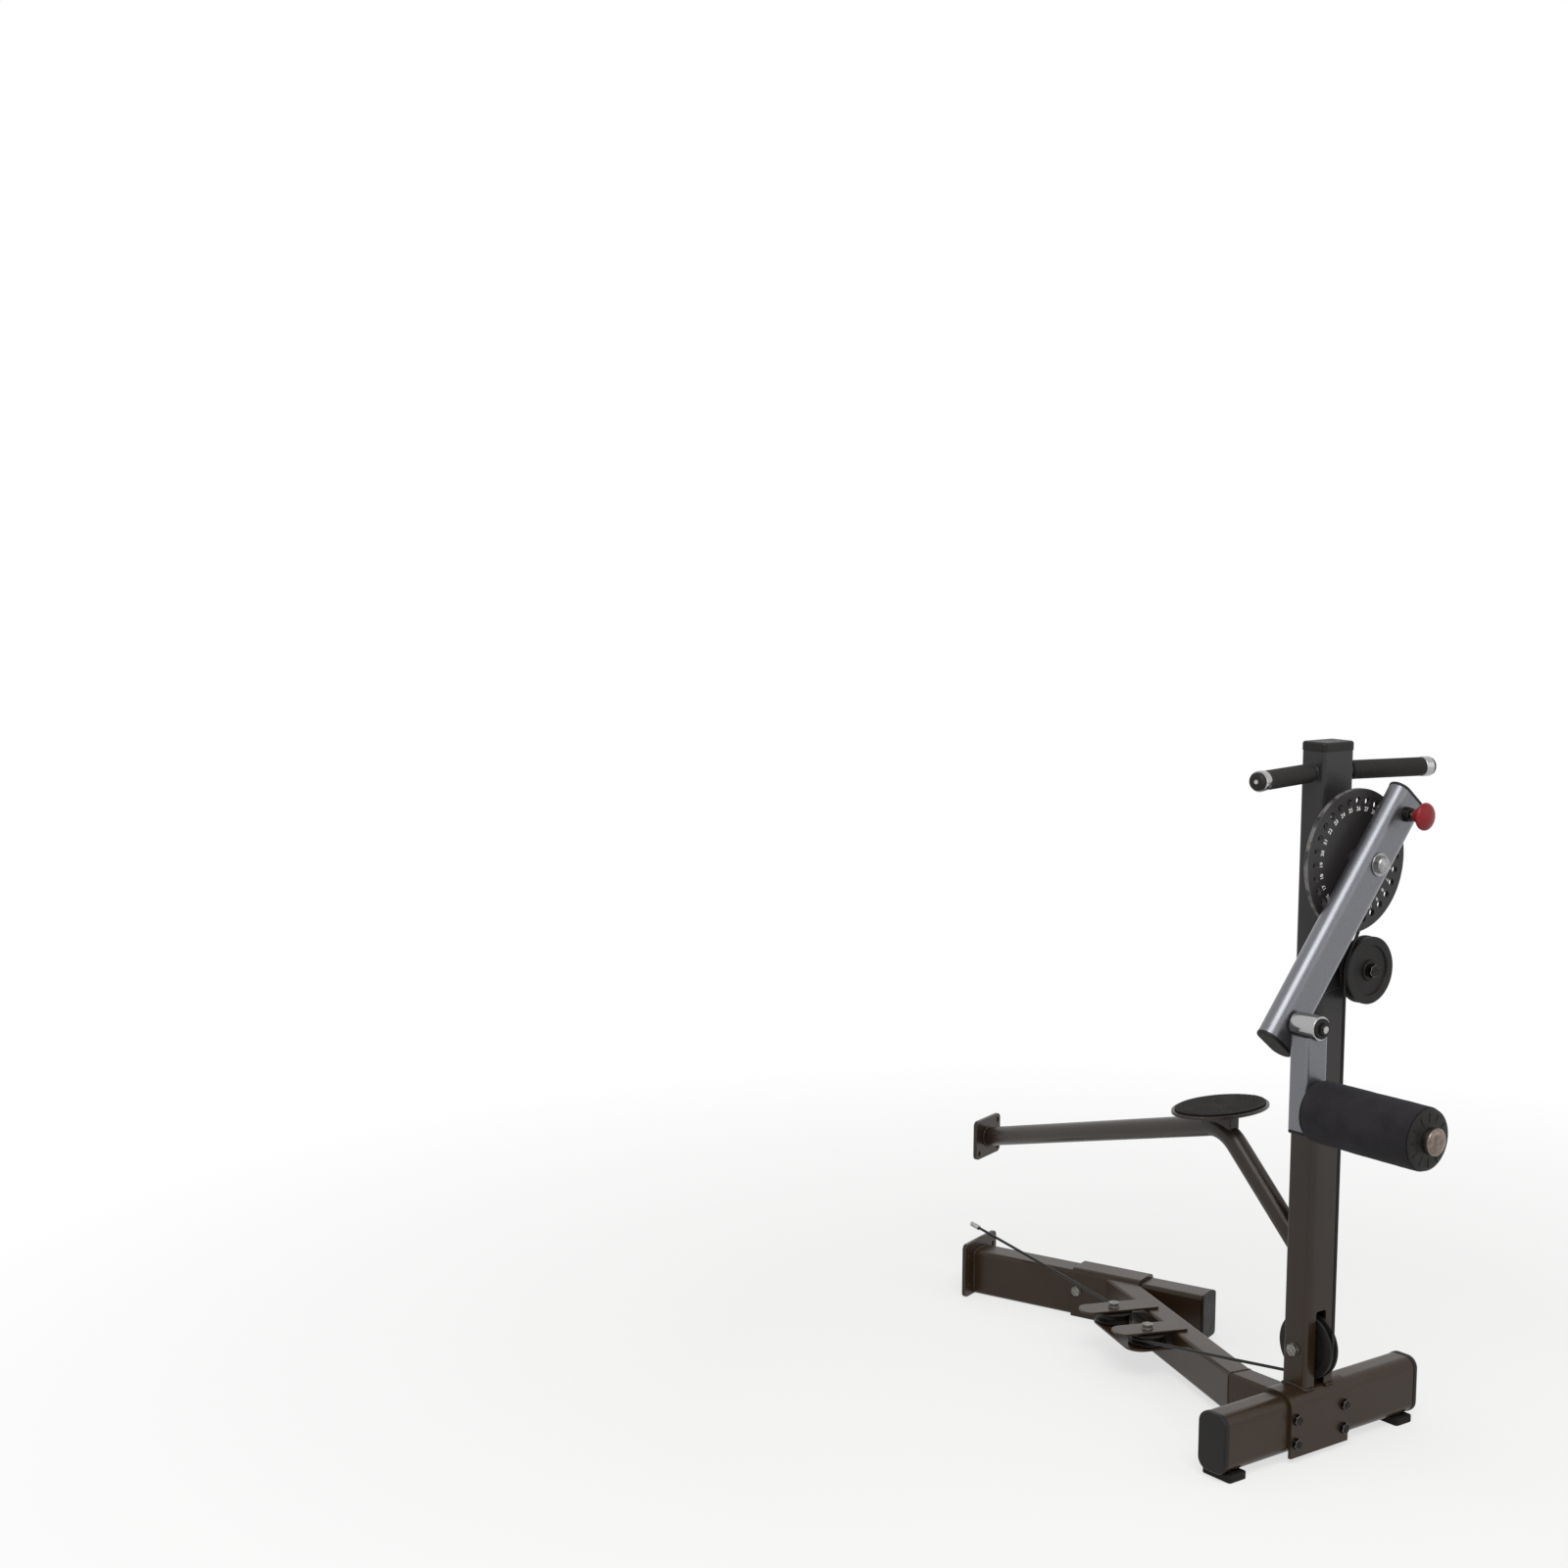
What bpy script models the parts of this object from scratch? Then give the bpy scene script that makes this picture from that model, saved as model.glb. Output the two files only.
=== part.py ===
# Multi hip machine for a home gym: an upright post on a T foot, a range disc with a
# pop-pin swing arm, a hanging link with a foam roller, and the cable that drives it.
# Metres. X runs along the roller, Y along the crossbar, Z up. The floor is z = 0, and sizes
# are laid out from the foot of the post; the last lines move the origin.
import math

import bmesh
import bpy
from mathutils import Vector

for old in list(bpy.data.objects):
    bpy.data.objects.remove(old, do_unlink=True)

# Middle of the footprint, from the foot of the post
FOOTPRINT_MID = Vector((-0.301, 0.022, 0.0))

# Clearances
FIT = 0.0003        # between two pieces that touch
RUN = 0.0003        # radial, between a bore and what turns or slides in it

X, Y, Z = Vector((1, 0, 0)), Vector((0, 1, 0)), Vector((0, 0, 1))

# Stock: walls, corners, caps, bolts
WALL = 0.003
CORNER = 0.007              # outer corner of the 50 x 75 tube
BAR_CORNER = 0.009          # outer corner of the base rail
CROSS_CORNER = 0.020        # outer corner of the crossbar
BREAK = 0.001               # broken edge of turned pieces
CAP_OVER = 0.001            # a cap stands this far beyond its tube's side
CAP_LIP = 0.014
CAP_EDGE = 0.004
CAP_TAPER = 0.0015
SMALL_CAP_T, SMALL_CAP_EDGE = 0.006, 0.002
BOLT_AF, BOLT_HEAD, THROUGH_R = 0.017, 0.0065, 0.005
AXLE_AF, AXLE_HEAD, BOLT_R = 0.019, 0.0075, 0.006
NUT_H, LOW_NUT_H = 0.008, 0.004
HEX_EDGE = 0.003            # across flats lost where a head is chamfered
TAIL = 0.003                # thread beyond a nut
SPACER_R = 0.010

# Post and crossbar
POST_X, POST_Y = 0.050, 0.075
POST_TOP = 1.205
POST_CAP_T, POST_CAP_LIP = 0.015, 0.016
BAR_X, BAR_Z, BAR_L = 0.060, 0.100, 0.470
BAR_Y = 0.011               # crossbar's middle from the post's
BAR_CAP_T = 0.010
FOOT_H, FOOT_L = 0.014, 0.042
FOOT_IN = 0.002             # foot's edge from the bar's end
FOOT_OVER = 0.002           # foot beyond the bar's side
FOOT_CORNER = 0.006
FOOT_BEVEL = 0.003
SADDLE_T, SADDLE_L = 0.006, 0.145
SADDLE_Y = -0.0065          # saddle's middle from the post's
SADDLE_BOLT_Y = 0.060
SADDLE_BOLT_LOW, SADDLE_BOLT_HIGH = 0.021, 0.063    # above the crossbar's underside
SADDLE_LOW = 0.004                  # legs reach this far below the bar
POST_COPE = 0.007           # post's end reaches down over the saddle's round shoulders

# Rails that join the post to the host gym
RAIL_Y, RAIL_Z = 0.050, 0.075
BASE_W, BASE_H = 0.060, 0.090
BEND_X = -0.153             # where the link rail turns
RAIL_TURN = 20.5            # degrees
BASE_TURN = 20.0            # degrees
BASE_END = Vector((-0.480, 0.263, 0.0))
BASE_LEN = 0.500
JUNCTION_BOLT_Z = 0.053
FLANGE_T, FLANGE_CORNER, FLANGE_HOLE_R = 0.008, 0.010, 0.0055
BASE_FLANGE_W, BASE_FLANGE_H = 0.130, 0.110
BASE_HOLES_W, BASE_HOLES_H = 0.100, 0.060
BRACE_FLANGE_W, BRACE_FLANGE_H = 0.100, 0.080
BRACE_HOLES_W, BRACE_HOLES_H = 0.076, 0.056

# Brace and foot plate
BRACE_R = 0.019
BRACE_WALL = 0.0025
BRACE_POST_Z = 0.348
BRACE_TOP_Z = 0.524
BRACE_HOST_Z = 0.318
BRACE_HOST_SIDE = 0.024             # beside the base rail's centreline
BRACE_BEND_X = -0.205
BRACE_BEND_R = 0.075
PLATE_A, PLATE_B, PLATE_T = 0.105, 0.064, 0.006
PLATE_BACK = 0.012                  # plate's middle behind the bend
PLATE_SIDE = 0.001
PLATE_UP = 0.006                    # above the tube's top
PLATE_EDGE = 0.0015
PAD_IN, PAD_T, PAD_EDGE = 0.006, 0.0037, 0.001
SEAT_X, SEAT_Y, SEAT_DOWN = 0.070, 0.024, 0.012

# Cable and pulleys
CABLE_D = 0.0055
ROPE_R = 0.052              # cable centre on the two large pulleys
SMALL_ROPE_R = 0.030        # cable centre on the two flat pulleys
FLANGE_OVER = 0.005         # pulley rim beyond the cable centre
ROPE_FREE = 0.0007          # cable above the groove's bottom
PULLEY_W, HUB_W = 0.020, 0.022
HUB_WALL, HUB_STEP = 0.009, 0.002
GROOVE_FOOT, GROOVE_MOUTH = 0.0024, 0.0054      # half widths
FLAT_FOOT, FLAT_MOUTH = 0.0026, 0.0070
SLOT_SIDE, SLOT_UP = 0.0025, 0.015  # room beside and above the low pulley
LOW_Z = 0.183
FORK_T, FORK_W, FORK_GAP = 0.004, 0.050, 0.0125
FORK_REACH = 0.068          # top plates beyond the axle
SHELF_REACH = 0.092         # lower plate beyond the link rail
FORK_CORNER, SHELF_CORNER = 0.020, 0.030
FLAT_1 = (-0.520, 0.050)
FLAT_2 = (-0.398, 0.017)
BRACKET_T = 0.006
BRACKET_BACK, BRACKET_H, BRACKET_NOSE_R = 0.030, 0.072, 0.022
CABLE_START = (-0.978, 0.1105, 0.120)
ANCHOR = 118.0              # degrees from +Y, cable's end on the drum at rest
STOP_R, STOP_L, POCKET_R, POCKET_L = 0.0045, 0.013, 0.0056, 0.018
END_SLEEVE_R, END_SLEEVE_L = 0.0050, 0.026

# Pivot, disc and arm, placed from the post's top
PIVOT_DOWN = 0.178          # pivot below the post's top
IDLER_DOWN = 0.190          # idler's axle below the pivot
SHAFT_R = 0.0125
SHAFT_HEAD_R, SHAFT_HEAD_T = 0.018, 0.008
STUD_R = 0.008
BOSS_R, BOSS_END = 0.028, 0.040
CAM_R = 0.086               # cable centre on the drum
DRUM_W, DRUM_OVER = 0.015, 0.004
DRUM_HUB_R = 0.022
DISC_R = 0.120
DISC_T = 0.008
HOLE_RING = 0.100
HOLE_N = 28
HOLE_D = 0.012
ARM_W, ARM_T = 0.076, 0.038
ARM_X0 = 0.077
ARM_TILT = 38.7             # degrees from upright, top towards +Y
ARM_UP, ARM_DOWN = 0.132, 0.346
LINK_D = 0.306
CAP_WASHER_R, CAP_WASHER_T = 0.020, 0.0025
CAP_NUT_R, CAP_NUT_H, CAP_NUT_DOME = 0.015, 0.0118, 0.0058
PIN_D = 0.010
PIN_BACK = 0.0074           # pin drawn back from its full depth
PIN_CLEAR = 0.0008          # drawn pin's tip from the disc
BARREL_WALL = 0.0035
BARREL_R, BARREL_L = 0.0125, 0.012
KNOB_R, KNOB_HALF = 0.023, 0.0095       # knob's head: radius and half thickness
KNOB_NECK_R, KNOB_NECK_L = 0.0110, 0.009

# Link and roller
SLEEVE_D, SLEEVE_L = 0.040, 0.050
WASHER_R, WASHER_T = 0.0165, 0.003
LINK_X, LINK_Y = 0.038, 0.050
LINK_DROP = 0.132
LINK_TAIL = 0.034
LINK_TOP = 0.014            # tube's top below the sleeve's axis
FOAM_R, FOAM_L = 0.050, 0.206
FOAM_EDGE = 0.004
ROLLER_GAP = 0.0092         # from the link's face to the foam
END_CAP_L, END_CAP_EDGE = 0.0075, 0.005
AXLE_R = 0.008
ROLLER_AF, ROLLER_HEAD = 0.022, 0.006
HUB_CAP_R, HUB_CAP_L, HUB_CAP_DOME = 0.0215, 0.010, 0.0063

# Handles
GRIP_DOWN = 0.036           # handles' axis below the post's top
GRIP_TURN = 13.0            # degrees, forward from the post's side
GRIP_L = 0.180
GRIP_BARE = 0.014           # bare tube between post and grip
GRIP_END_L = 0.024
BAR_TUBE_R = 0.0127
TUBE_WALL = 0.002
GRIP_R = 0.016
PLUG_L = 0.012

# Values that follow from these
BAR_TOP = FOOT_H + BAR_Z
SADDLE_TOP = BAR_TOP + FIT + SADDLE_T
POST_Z0 = SADDLE_TOP + FIT
GRIP_Z = POST_TOP - GRIP_DOWN
PIVOT_Z = POST_TOP - PIVOT_DOWN
IDLER_Z = PIVOT_Z - IDLER_DOWN
ROPE_X = ROPE_R                      # plane of disc groove, idler and rising cable
DRUM_X0, DRUM_X1 = ROPE_X - DRUM_W / 2, ROPE_X + DRUM_W / 2
DISC_X0 = DRUM_X1 + FIT
DISC_X1 = DISC_X0 + DISC_T
ARM_X1 = ARM_X0 + ARM_T
A = math.radians(ARM_TILT)
UP = Vector((0.0, math.sin(A), math.cos(A)))
SIDE = Vector((0.0, math.cos(A), -math.sin(A)))
PIVOT = Vector((0.0, 0.0, PIVOT_Z))
LINK_PIVOT = PIVOT - UP * LINK_D
PIN = PIVOT + UP * HOLE_RING
SLEEVE_X0 = ARM_X1 + WASHER_T + 2 * FIT
SLEEVE_X1 = SLEEVE_X0 + SLEEVE_L
LINK_XC = (SLEEVE_X0 + SLEEVE_X1) / 2
ROLLER = Vector((0.0, LINK_PIVOT.y, LINK_PIVOT.z - LINK_DROP))
FOAM_X0 = LINK_XC + LINK_X / 2 + ROLLER_GAP
FOAM_X1 = FOAM_X0 + FOAM_L
T = math.radians(BASE_TURN)
BASE_DIR = Vector((math.cos(T), math.sin(T), 0.0))
BASE_NRM = Vector((-math.sin(T), math.cos(T), 0.0))
BASE_START = BASE_END - BASE_DIR * BASE_LEN
R = math.radians(RAIL_TURN)
RAIL_DIR = Vector((-math.cos(R), math.sin(R), 0.0))
RAIL_NRM = Vector((-math.sin(R), -math.cos(R), 0.0))
RAIL_TOP = BASE_H
FLAT_Z = RAIL_TOP + FIT - FORK_GAP
RAIL_BEND = Vector((BEND_X, 0.0, 0.0))


def material(name, rgb, rough, metal=0.0):
    m = bpy.data.materials.new(name)
    m.use_nodes = True
    b = m.node_tree.nodes["Principled BSDF"]
    b.inputs["Base Color"].default_value = (rgb[0], rgb[1], rgb[2], 1.0)
    b.inputs["Roughness"].default_value = rough
    b.inputs["Metallic"].default_value = metal
    m.diffuse_color = (rgb[0], rgb[1], rgb[2], 1.0)
    return m


PAINT = (0.045, 0.042, 0.038)
SILVER = (0.36, 0.35, 0.34)
BLACK = (0.012, 0.012, 0.012)
CHROME = (0.62, 0.62, 0.63)
ZINC = (0.42, 0.42, 0.41)
RED = (0.30, 0.012, 0.016)
FOAM = (0.030, 0.030, 0.034)


def put(name, bm, rgb, rough=0.5, metal=0.0, origin=None, smooth=True):
    """Turn a bmesh into a named object; origin is the point that its joint turns about."""
    o = Vector(origin) if origin is not None else Vector((0, 0, 0))
    bmesh.ops.recalc_face_normals(bm, faces=bm.faces)
    bmesh.ops.translate(bm, verts=bm.verts, vec=-o)
    me = bpy.data.meshes.new(name)
    bm.to_mesh(me)
    bm.free()
    if smooth:
        me.shade_smooth()
        me.set_sharp_from_angle(angle=math.radians(35))
    ob = bpy.data.objects.new(name, me)
    ob.location = o
    bpy.context.scene.collection.objects.link(ob)
    if rgb is not None:
        me.materials.append(material("mat_" + name, rgb, rough, metal))
    return ob


def boolean(target, other, operation):
    other.hide_render = True
    other.display_type = "WIRE"
    mod = target.modifiers.new(other.name, "BOOLEAN")
    mod.operation = operation
    mod.solver = "EXACT"
    mod.object = other


def cut(target, bm, name):
    """Take the closed shape in bm away from the target object."""
    boolean(target, put(name, bm, None, smooth=False), "DIFFERENCE")


def weld(target, other):
    """Join another object, which overlaps it, to the target."""
    boolean(target, other, "UNION")


def join(*parts):
    """Put several closed shapes in one bmesh."""
    out = bmesh.new()
    for bm in parts:
        me = bpy.data.meshes.new("part")
        bm.to_mesh(me)
        bm.free()
        out.from_mesh(me)
        bpy.data.meshes.remove(me)
    return out


def loft(loops, inner=None):
    """Closed solid through equal loops of points; inner loops make it a tube."""
    bm = bmesh.new()
    rings = [[bm.verts.new(p) for p in lp] for lp in loops]
    n = len(rings[0])

    def wall(rs):
        for a, b in zip(rs[:-1], rs[1:]):
            for i in range(n):
                j = (i + 1) % n
                bm.faces.new((a[i], a[j], b[j], b[i]))

    wall(rings)
    if inner is None:
        bm.faces.new(rings[0])
        bm.faces.new(rings[-1])
    else:
        holes = [[bm.verts.new(p) for p in lp] for lp in inner]
        wall(holes)
        for a, b in ((rings[0], holes[0]), (rings[-1], holes[-1])):
            for i in range(n):
                j = (i + 1) % n
                bm.faces.new((a[i], a[j], b[j], b[i]))
    return bm


def frame_loop(pts, at, ex, ey):
    return [at + ex * u + ey * v for u, v in pts]


def rrect(w, h, r, seg=2):
    """Outline of a rounded rectangle, w by h."""
    out = []
    for cx, cy, a0 in ((1, 1, 0), (-1, 1, 90), (-1, -1, 180), (1, -1, 270)):
        for k in range(seg + 1):
            a = math.radians(a0 + 90.0 * k / seg)
            out.append((cx * (w / 2 - r) + r * math.cos(a), cy * (h / 2 - r) + r * math.sin(a)))
    return out


def oval(w, h, seg=6):
    """Racetrack outline, w long and h across, with half round ends."""
    out = []
    r = h / 2
    for c, a0 in ((1, -90), (-1, 90)):
        for k in range(seg + 1):
            a = math.radians(a0 + 180.0 * k / seg)
            out.append((c * (w / 2 - r) + r * math.cos(a), r * math.sin(a)))
    return out


def ring(r, n=16, turn=0.0):
    return [(r * math.cos(2 * math.pi * k / n + turn), r * math.sin(2 * math.pi * k / n + turn))
            for k in range(n)]


def hexagon(af, n=12):
    """Hexagon across flats af, given by its corners and the middles of its sides."""
    out = []
    for k in range(n):
        a = 2 * math.pi * k / n
        r = af / 2 if k % 2 else af / 2 / math.cos(math.pi / 6)
        out.append((r * math.cos(a), r * math.sin(a)))
    return out


def axes(d):
    """Two directions across d."""
    d = Vector(d).normalized()
    ref = Z if abs(d.z) < 0.9 else X
    u = d.cross(ref).normalized()
    return u, d.cross(u).normalized()


def lathe(profile, at, d, steps=24, closed=True):
    """Spin a profile of (along, radius) points about the line through at along d."""
    bm = bmesh.new()
    d = Vector(d).normalized()
    u, v = axes(d)
    at = Vector(at)
    vs = [bm.verts.new(at + d * a + v * r) for a, r in profile]
    n = len(vs)
    es = [bm.edges.new((vs[i], vs[(i + 1) % n])) for i in range(n if closed else n - 1)]
    bmesh.ops.spin(bm, geom=vs + es, cent=at, axis=d, dvec=(0, 0, 0), angle=2 * math.pi,
                   steps=steps, use_merge=True, use_duplicate=False)
    bmesh.ops.remove_doubles(bm, verts=bm.verts, dist=0.000001)
    return bm


def rod(at, d, r, length, n=16, edge=0.0):
    """Solid round bar from at along d."""
    d = Vector(d).normalized()
    u, v = axes(d)
    at = Vector(at)
    lp = []
    if edge:
        lp.append(frame_loop(ring(r - edge, n), at, u, v))
    lp.append(frame_loop(ring(r, n), at + d * edge, u, v))
    lp.append(frame_loop(ring(r, n), at + d * (length - edge), u, v))
    if edge:
        lp.append(frame_loop(ring(r - edge, n), at + d * length, u, v))
    return loft(lp)


def bolt(at, d, af, head, r, steps=(), nut_at=None, length=None, nut_h=NUT_H):
    """Hex bolt; at is under the head and d points down the shank. steps are collars on
    the shank, each (from, to, radius); a nut may sit at a distance from the head, and
    then the thread ends just beyond it."""
    d = Vector(d).normalized()
    u, v = axes(d)
    at = Vector(at)

    def hexa(f, z):
        return frame_loop(hexagon(f), at + d * z, u, v)

    def round_at(q, z):
        return frame_loop(ring(q, 12), at + d * z, u, v)

    lp = [hexa(af - HEX_EDGE, -head), hexa(af, BREAK - head), hexa(af, 0), round_at(r, 0)]
    for z0, z1, q in steps:
        lp += [round_at(r, z0), round_at(q, z0), round_at(q, z1), round_at(r, z1)]
    if nut_at is not None:
        nut_end = nut_at + nut_h
        length = nut_end + TAIL
        lp += [round_at(r, nut_at), hexa(af, nut_at), hexa(af, nut_end - BREAK),
               hexa(af - HEX_EDGE, nut_end), round_at(r, nut_end)]
    lp += [round_at(r, length - BREAK), round_at(r - BREAK, length)]
    return loft(lp)


def box(x0, x1, y0, y1, z0, z1):
    return loft([[Vector((x, y, z)) for x, y in ((x0, y0), (x1, y0), (x1, y1), (x0, y1))]
                 for z in (z0, z1)])


def plug_cap(outer, inner, at, ex, ey, ez, thick, edge, lip=CAP_LIP):
    """End cap with a lip that goes into the tube; ez points out of the tube."""
    def shrink(pts, k):
        hx = max(p[0] for p in pts)
        hy = max(p[1] for p in pts)
        return [(p[0] * (1 - k / hx), p[1] * (1 - k / hy)) for p in pts]

    ins = shrink(inner, RUN)
    small = shrink(inner, RUN + CAP_TAPER)
    face = shrink(outer, edge)
    lp = [frame_loop(small, at - ez * lip, ex, ey),
          frame_loop(ins, at - ez * (lip - CAP_TAPER), ex, ey),
          frame_loop(ins, at + ez * FIT, ex, ey),
          frame_loop(outer, at + ez * FIT, ex, ey),
          frame_loop(outer, at + ez * (FIT + thick - edge), ex, ey),
          frame_loop(face, at + ez * (FIT + thick), ex, ey)]
    return loft(lp)


def hit(p, d, q, n):
    """Where the line from p along d meets the plane through q with normal n."""
    return p + d * ((q - p).dot(n) / d.dot(n))


# Crossbar with its end caps and feet
bar_out = rrect(BAR_X, BAR_Z, CROSS_CORNER, 6)
bar_in = rrect(BAR_X - 2 * WALL, BAR_Z - 2 * WALL, CROSS_CORNER - WALL, 6)
bar_mid = Y * BAR_Y + Z * (FOOT_H + BAR_Z / 2)
ends = [bar_mid - Y * BAR_L / 2, bar_mid + Y * BAR_L / 2]
crossbar = put("crossbar", loft([frame_loop(bar_out, p, X, Z) for p in ends],
                                [frame_loop(bar_in, p, X, Z) for p in ends]), PAINT, 0.45)
cap_out = rrect(BAR_X + 2 * CAP_OVER, BAR_Z + 2 * CAP_OVER, CROSS_CORNER + CAP_OVER, 6)
foot_at = BAR_L / 2 - FOOT_IN - FOOT_L / 2
for s, side_name in ((-1, "left"), (1, "right")):
    put("crossbar_cap_" + side_name, plug_cap(cap_out, bar_in, bar_mid + Y * (s * BAR_L / 2),
                                              X, Z, Y * s, BAR_CAP_T, CAP_EDGE), BLACK, 0.6)
    c = Y * (BAR_Y + s * foot_at)
    pad = rrect(BAR_X + 2 * FOOT_OVER, FOOT_L, FOOT_CORNER)
    low_pad = rrect(BAR_X, FOOT_L - 2 * FOOT_OVER, FOOT_CORNER - BREAK)
    put("rubber_foot_" + side_name, loft([
        frame_loop(low_pad, c, X, Y), frame_loop(pad, c + Z * FOOT_BEVEL, X, Y),
        frame_loop(pad, c + Z * (FOOT_H - FIT), X, Y)]), BLACK, 0.85)

# Saddle plates bent over the crossbar and over the base rail, with their through bolts
def saddle_outline(x, top, leg_z, r, step):
    """Half width x, height top, bend radius r: points up one leg, over and down the other."""
    out = [(-x, leg_z)]
    for s, a0 in ((-1, 180), (1, 90)):
        for k in range(90 // step + 1):
            a = math.radians(a0 - step * k)
            out.append((s * (x - r) + r * math.cos(a), top - r + r * math.sin(a)))
    out.append((x, leg_z))
    return out


def saddle_plate(mid, along, across, half_w, top_z, leg_z, corner, step):
    """Plate bent over a rail that runs along; mid is a point on the rail's centreline."""
    x0 = half_w + FIT
    z0 = top_z + FIT
    outer = saddle_outline(x0 + SADDLE_T, z0 + SADDLE_T, leg_z, corner + SADDLE_T, step)
    inner = saddle_outline(x0, z0, leg_z, corner, step)
    half = along * (SADDLE_L / 2)
    loops = []
    for o, i in zip(outer, inner):
        po = mid + across * o[0] + Z * o[1]
        pi = mid + across * i[0] + Z * i[1]
        loops.append([po - half, pi - half, pi + half, po + half])
    return loft(loops)


def saddle_holes(spots, across, half_w):
    reach = half_w + 2 * SADDLE_T
    return join(*[rod(p - across * reach, across, THROUGH_R + RUN, 2 * reach, 12)
                  for p in spots])


def saddle_bolt(name, spot, across, half_w):
    """Through bolt with its nut, the head on the across side."""
    face = half_w + SADDLE_T + 2 * FIT
    put(name, bolt(spot + across * face, -across, BOLT_AF, BOLT_HEAD, THROUGH_R,
                   nut_at=2 * face), ZINC, 0.4, 1.0)


sx1 = BAR_X / 2 + FIT + SADDLE_T
saddle = put("post_saddle", saddle_plate(Y * SADDLE_Y, Y, X, BAR_X / 2, BAR_TOP,
                                         FOOT_H - SADDLE_LOW, CROSS_CORNER, 15), PAINT, 0.45)
post_spots = [Vector((0, SADDLE_Y + s * SADDLE_BOLT_Y, FOOT_H + h)) for s in (-1, 1)
              for h in (SADDLE_BOLT_LOW, SADDLE_BOLT_HIGH)]
cut(saddle, saddle_holes(post_spots, X, BAR_X / 2), "cut_saddle_holes")
cut(crossbar, saddle_holes(post_spots, X, BAR_X / 2), "cut_crossbar_holes")

rail_meets = hit(RAIL_BEND, RAIL_DIR, BASE_END, BASE_NRM)
junction = put("junction_saddle", saddle_plate(rail_meets, BASE_DIR, -BASE_NRM, BASE_W / 2,
                                               BASE_H, 0.0, BAR_CORNER, 30), PAINT, 0.45)
rail_spots = [rail_meets + BASE_DIR * (s * SADDLE_BOLT_Y) + Z * JUNCTION_BOLT_Z
              for s in (-1, 1)]
cut(junction, saddle_holes(rail_spots, -BASE_NRM, BASE_W / 2), "cut_junction_holes")
for i, spot in enumerate(post_spots):
    saddle_bolt("saddle_bolt_%d" % (i + 1), spot, X, BAR_X / 2)
for i, spot in enumerate(rail_spots):
    saddle_bolt("junction_bolt_%d" % (i + 1), spot, -BASE_NRM, BASE_W / 2)

# Post with the slots for the low pulley, and its top cap
post_out = rrect(POST_X, POST_Y, CORNER)
post_in = rrect(POST_X - 2 * WALL, POST_Y - 2 * WALL, CORNER - WALL)
post_ends = [Z * (POST_Z0 - POST_COPE), Z * POST_TOP]
post = put("post", loft([frame_loop(post_out, p, X, Y) for p in post_ends],
                        [frame_loop(post_in, p, X, Y) for p in post_ends]), PAINT, 0.45)
shoulder = saddle_outline(sx1 + FIT, POST_Z0, BAR_TOP - BAR_Z, CROSS_CORNER + SADDLE_T + FIT, 15)
cut(post, loft([[Vector((x, y, z)) for x, z in shoulder] for y in (-POST_Y, POST_Y)]),
    "cut_post_foot")
slot = PULLEY_W / 2 + SLOT_SIDE
cut(post, box(-POST_X, POST_X, -slot, slot, POST_Z0 - FOOT_H, LOW_Z + ROPE_R + SLOT_UP),
    "cut_pulley_slots")
cut(post, rod((0, -POST_Y, LOW_Z), Y, BOLT_R + RUN, 2 * POST_Y, 16), "cut_low_axle")
cut(post, rod((-POST_X, 0, PIVOT_Z), X, SHAFT_R + RUN, 2 * POST_X, 20), "cut_pivot_bore")
put("post_top_cap", plug_cap(
    rrect(POST_X + 2 * CAP_OVER, POST_Y + 2 * CAP_OVER, CORNER + CAP_OVER), post_in,
    Z * POST_TOP, X, Y, Z, POST_CAP_T, CAP_EDGE, POST_CAP_LIP), BLACK, 0.55)

# Handles on both sides, with grips and bright ends
for s, side_name in ((-1, "left"), (1, "right")):
    g = math.radians(GRIP_TURN)
    d = Vector((math.sin(g), s * math.cos(g), 0))
    root = Vector((0, s * (POST_Y / 2 + FIT), GRIP_Z))
    u, v = axes(d)
    face = s * (POST_Y / 2 + FIT)
    start = [hit(root + u * p + v * q, d, Vector((0, face, 0)), Y)
             for p, q in ring(BAR_TUBE_R, 16)]
    start_in = [hit(root + u * p + v * q, d, Vector((0, face, 0)), Y)
                for p, q in ring(BAR_TUBE_R - TUBE_WALL, 16)]
    end = root + d * (GRIP_L - 2 * BREAK)
    put("handle_tube_" + side_name, loft(
        [start, frame_loop(ring(BAR_TUBE_R, 16), end, u, v)],
        [start_in, frame_loop(ring(BAR_TUBE_R - TUBE_WALL, 16), end, u, v)]), PAINT, 0.45)
    ri = BAR_TUBE_R + RUN
    g0, g1 = GRIP_BARE, GRIP_L - GRIP_END_L
    put("handle_grip_" + side_name, lathe(
        [(g0, ri), (g0, GRIP_R - BREAK), (g0 + BREAK, GRIP_R), (g1 - BREAK, GRIP_R),
         (g1, GRIP_R - BREAK), (g1, ri)], root, d, 16), BLACK, 0.9)
    c0, c1 = g1 + FIT, GRIP_L + 2 * BREAK
    ins = BAR_TUBE_R - TUBE_WALL - RUN
    p0 = GRIP_L - 2 * BREAK + FIT
    put("grip_end_" + side_name, lathe(
        [(p0 - PLUG_L, 0), (p0 - PLUG_L, ins), (p0, ins), (p0, ri), (c0, ri), (c0, GRIP_R),
         (c0 + BREAK, GRIP_R + BREAK), (c1 - BREAK, GRIP_R + BREAK), (c1, GRIP_R),
         (c1 + 3 * BREAK, GRIP_R - 5 * BREAK), (c1 + 4 * BREAK, 0)], root, d, 16,
        closed=False), CHROME, 0.2, 1.0)

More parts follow.
